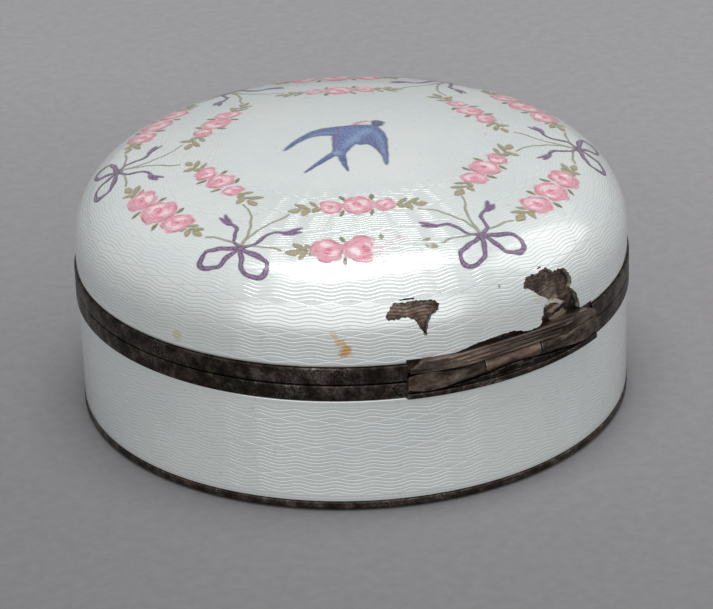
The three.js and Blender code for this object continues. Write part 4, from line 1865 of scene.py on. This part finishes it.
@dataclass
class Painting:
    """Garlands tied with bows round the lid, and a swallow in the middle."""

    first_bow: float = 29.9
    bow_arc: float = 9.15
    outer_arc: float = 9.9
    inner_arc: float = 15.7
    sectors: int = 6
    low: float = -13.0
    high: float = 56.0
    arc_low: float = 6.0
    arc_high: float = 17.4

    def build(self, shop: Workshop) -> None:
        """Builds the painted films.

        Args:
            shop: materials and node groups.
        """
        for variant, (lean, seed) in enumerate(((0.5, 3), (-0.6, 8), (0.1, 21))):
            piece = self.sector(variant, lean, seed)
            turn = math.radians(self.first_bow + variant * 360 / self.sectors)
            run_tree(piece, shop.ring, Count=2, Turn=turn, Finish=shop.materials["painted"])
            shop.finish(piece, "painted", Body.LID, Slot.ENAMEL)
        shop.finish(self.swallow(), "painted_bird", Body.LID, Slot.ENAMEL)

    def sector(self, variant: int, lean: float, seed: int) -> Thing:
        """Paints one bow and the garlands beside it.

        Args:
            variant: number of the sector.
            lean: unevenness of the bow.
            seed: seed of the brushwork.

        Returns:
            The film, with its bow on the X axis.
        """
        fine = 1.0
        angles = np.arange(math.radians(self.low), math.radians(self.high), 0.0045 * fine)
        arcs = np.arange(self.arc_low, self.arc_high, 0.08 * fine)
        angle, arc = np.meshgrid(angles, arcs)
        radius = DOME.at(arc)[0]
        canvas = Canvas(angle * radius, self.bow_arc - arc, seed)
        mid = angle - math.radians(180 / self.sectors)
        rng = np.random.default_rng(seed + 5)
        grow = rng.uniform(0.92, 1.06, 6)
        canvas.measure(mid * radius, self.inner_arc - arc)
        paint_garland(canvas, (1.0 * grow[0], 1.25 * grow[1], 0.9 * grow[2]), 2.1, 0.95, 1.7)
        canvas.measure(mid * radius, self.outer_arc - arc)
        paint_garland(canvas, (1.35 * grow[3], 1.55 * grow[4], 1.3 * grow[5]), 2.7, 0.35, 1.4)
        canvas.measure(angle * radius, self.bow_arc - arc)
        paint_bow(canvas, lean)
        lift = 0.02 + 0.003 * variant
        thing = film(
            f"garland_{variant + 1}", DOME.place(angle, arc, lift), DOME.place(angle, arc, 0.004), canvas
        )
        store_arc(thing, DOME.arc_of)
        return thing

    def swallow(self) -> Thing:
        """Paints the swallow on the crown.

        Returns:
            The film.
        """
        step = 0.07 * 1.0
        x, y = np.meshgrid(np.arange(-6, 4.2, step), np.arange(-4.4, 7.8, step))
        canvas = Canvas(x, y, 5)
        canvas.drift.size = 0.03
        canvas.measure(x, y)
        paint_swallow(canvas)
        turn = math.radians(VIEW_HEADING)
        c, s = math.cos(turn), math.sin(turn)
        flat = np.stack([x * c + y * s, x * s - y * c], -1)
        r2 = (flat**2).sum(-1)

        def raised(lift: float) -> np.ndarray:
            """Grid points on the crown, lifted off it."""
            z = DOME.upright - DOME.rise + np.sqrt((DOME.crown + lift) ** 2 - r2)
            return np.concatenate([flat, z[..., None]], -1)

        thing = film("swallow", raised(0.02), raised(0.004), canvas)
        store_arc(thing, DOME.arc_of)
        return thing


# ---------------------------------------------------------------------- studio


@dataclass
class Studio:
    """Floor, soft lights and the camera."""

    distance: float = 270.0
    elevation: float = 0.4651
    pitch: float = -0.0231
    yaw: float = -0.001
    roll: float = -0.0323
    heading: float = VIEW_HEADING
    lens: float = 164.44

    def build(self) -> None:
        """Builds the whole studio."""
        self.floor()
        self.lights()
        self.camera()

    def floor(self) -> None:
        """Builds a broad grey floor with painted shade that darkens it toward the viewer and the left."""
        spokes = 72
        ring = np.arange(spokes) * TAU / spokes
        radii = np.concatenate([[30, 60, 100], np.linspace(160, 2200, 40)])
        verts = [(0, 0, 0)] + [(r * math.cos(a), r * math.sin(a), 0) for r in radii for a in ring]
        faces = [[0, 1 + i, 1 + (i + 1) % spokes] for i in range(spokes)]
        for first in range(1, 1 + spokes * (len(radii) - 1), spokes):
            after = first + spokes
            for i in range(spokes):
                j = (i + 1) % spokes
                faces.append([first + i, after + i, after + j, first + j])
        floor = build_object("floor", np.array(verts, float) - (0, 0, 0.02), faces)
        material, w, shader = new_material("paper")
        place = w.objects()
        grain = w.noise(place, 900.0, 4, 0.7)
        paper = w.mix(w.span(grain, 0.25, 0.75), linear("939193"), linear("9b999b"))
        turn = math.radians(self.heading)
        right, back = Vector((math.cos(turn), math.sin(turn), 0)), Vector(
            (-math.sin(turn), math.cos(turn), 0)
        )
        toward = (0.35 * right + back).normalized()
        along = w.dot(place, tuple(toward))
        # painted shade: the floor's colour is darkened toward the viewer and the left, standing in for light
        # falling off across it
        painted_falloff = w.add("ShaderNodeMapRange", along, -60 * MM, 60 * MM, 0.57, 1.0).outputs[0]
        w.feed(shader.inputs["Base Color"], w.mix(1.0, paper, painted_falloff, "MULTIPLY"))
        shader.inputs["Roughness"].default_value = 0.9
        shader.inputs["Specular IOR Level"].default_value = 0.2
        floor.data.materials.append(material)

    def spot(
        self, name: str, away: Sequence[float], size: tuple[float, float], power: float,
        tint: Colour = (1, 1, 1),
    ) -> None:
        """Adds a soft rectangular light aimed at the box.

        Args:
            name: its name.
            away: place in the picture's own directions: right, toward the viewer, up, in millimetres.
            size: width and height in millimetres.
            power: strength in watts.
            tint: colour of the light.
        """
        light = bpy.data.lights.new(name, "AREA")
        light.shape = "RECTANGLE"
        light.size = size[0] * MM
        light.size_y = size[1] * MM
        light.energy = power
        light.color = tint
        thing = bpy.data.objects.new(name, light)
        bpy.context.scene.collection.objects.link(thing)
        turn = Matrix.Rotation(math.radians(self.heading), 4, "Z")
        place = turn @ Vector((away[0], -away[1], away[2])) * MM
        thing.location = place
        thing.rotation_euler = (Vector((0, 0, 0.01)) - place).to_track_quat("-Z", "Y").to_euler()

    def lights(self) -> None:
        """Adds an overhead softbox, fills from the right and the front, and a grey surround."""
        self.spot("overhead", (10, 20, 600), (430, 280), 2.25)
        self.spot("right", (600, -100, 420), (500, 500), 0.8)
        self.spot("front", (0, 700, 230), (1400, 480), 2.5)
        world = bpy.context.scene.world or bpy.data.worlds.new("surround")
        bpy.context.scene.world = world
        world.use_nodes = True
        back = next(n for n in world.node_tree.nodes if n.type == "BACKGROUND")
        back.inputs[0].default_value = (*linear("b9bcbd"), 1)
        back.inputs[1].default_value = 0.76

    def camera(self) -> None:
        """Places the camera."""
        ce, se = math.cos(self.elevation), math.sin(self.elevation)
        right, ahead, up = Vector((1, 0, 0)), Vector((0, ce, -se)), Vector((0, se, ce))
        place = -ahead * self.distance * MM
        cp, sp = math.cos(self.pitch), math.sin(self.pitch)
        ahead, up = cp * ahead - sp * up, sp * ahead + cp * up
        cy, sy = math.cos(self.yaw), math.sin(self.yaw)
        ahead, right = cy * ahead - sy * right, cy * right + sy * ahead
        cr, sr = math.cos(self.roll), math.sin(self.roll)
        right, up = cr * right + sr * up, cr * up - sr * right
        axes = Matrix((right, up, -ahead)).transposed().to_4x4()
        axes.translation = place
        data = bpy.data.cameras.new("camera")
        data.sensor_width = 36
        data.lens = self.lens
        data.clip_start, data.clip_end = 0.01, 10
        thing = bpy.data.objects.new("camera", data)
        bpy.context.scene.collection.objects.link(thing)
        thing.matrix_world = Matrix.Rotation(math.radians(self.heading), 4, "Z") @ axes
        bpy.context.scene.camera = thing


def build_materials(effects: Effects) -> dict[str, bpy.types.Material]:
    """Makes every finish once.

    Args:
        effects: the shared node groups.

    Returns:
        The materials by name.
    """
    finishes = (
        Enamel("wall_enamel", WALL_LINES, depth=0.016),
        Enamel("lid_enamel", DOME_LINES, stains=True),
        PaintedEnamel("painted", faded=WORN_ROSES),
        PaintedEnamel("painted_bird"),
        Fracture(),
        Silver("band"),
        Silver("foot", dark=linear("2b2521"), brown=linear("524841"), bareness=0.5, worn=0.7),
        Silver(
            "hinge", dark=linear("3a3029"), brown=linear("75665a"), bare=linear("a08f82"), bareness=0.5,
            stretch=0.4,
        ),
        Silver(
            "middle_knuckle", dark=linear("4a3c34"), brown=linear("8c766a"), bare=linear("b8a190"),
            bareness=0.6, stretch=0.3,
        ),
        Silver(
            "leaf", dark=linear("332a23"), brown=linear("74635a"), bare=linear("a59384"), bareness=0.5,
            worn=0.8, stretch=0.12,
        ),
        Silver(
            "under_enamel", dark=linear("463830"), brown=linear("7c6a60"), bare=linear("94826f"),
            bareness=0.4, metallic=0.7, worn=0.0, turned=DOME_LINES,
        ),
        Silver(
            "lining", dark=linear("99948c"), brown=linear("bdb9b1"), bare=linear("dedbd4"), bareness=0.7,
            scratched=0.3, worn=0.2, scale=260.0, metallic=0.75, rough=(0.34, 0.5),
        ),
        Silver("pin", dark=linear("55504b"), brown=linear("8a857e"), bare=linear("b9b4ac")),
    )
    return {finish.name: finish.build(effects) for finish in finishes}


def main() -> None:
    """Builds the frame, both halves, the painting and the studio."""
    logging.basicConfig(level=logging.INFO, format="%(name)s: %(message)s")
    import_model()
    scene = bpy.context.scene
    scene.view_settings.view_transform = "Standard"
    effects = Effects()
    shop = Workshop(effects, ring_tree(), ribs_tree(), build_materials(effects))
    BaseHalf().build(shop)
    LidHalf().build(shop)
    Painting().build(shop)
    Studio().build()


if __name__ == "__main__":
    main()
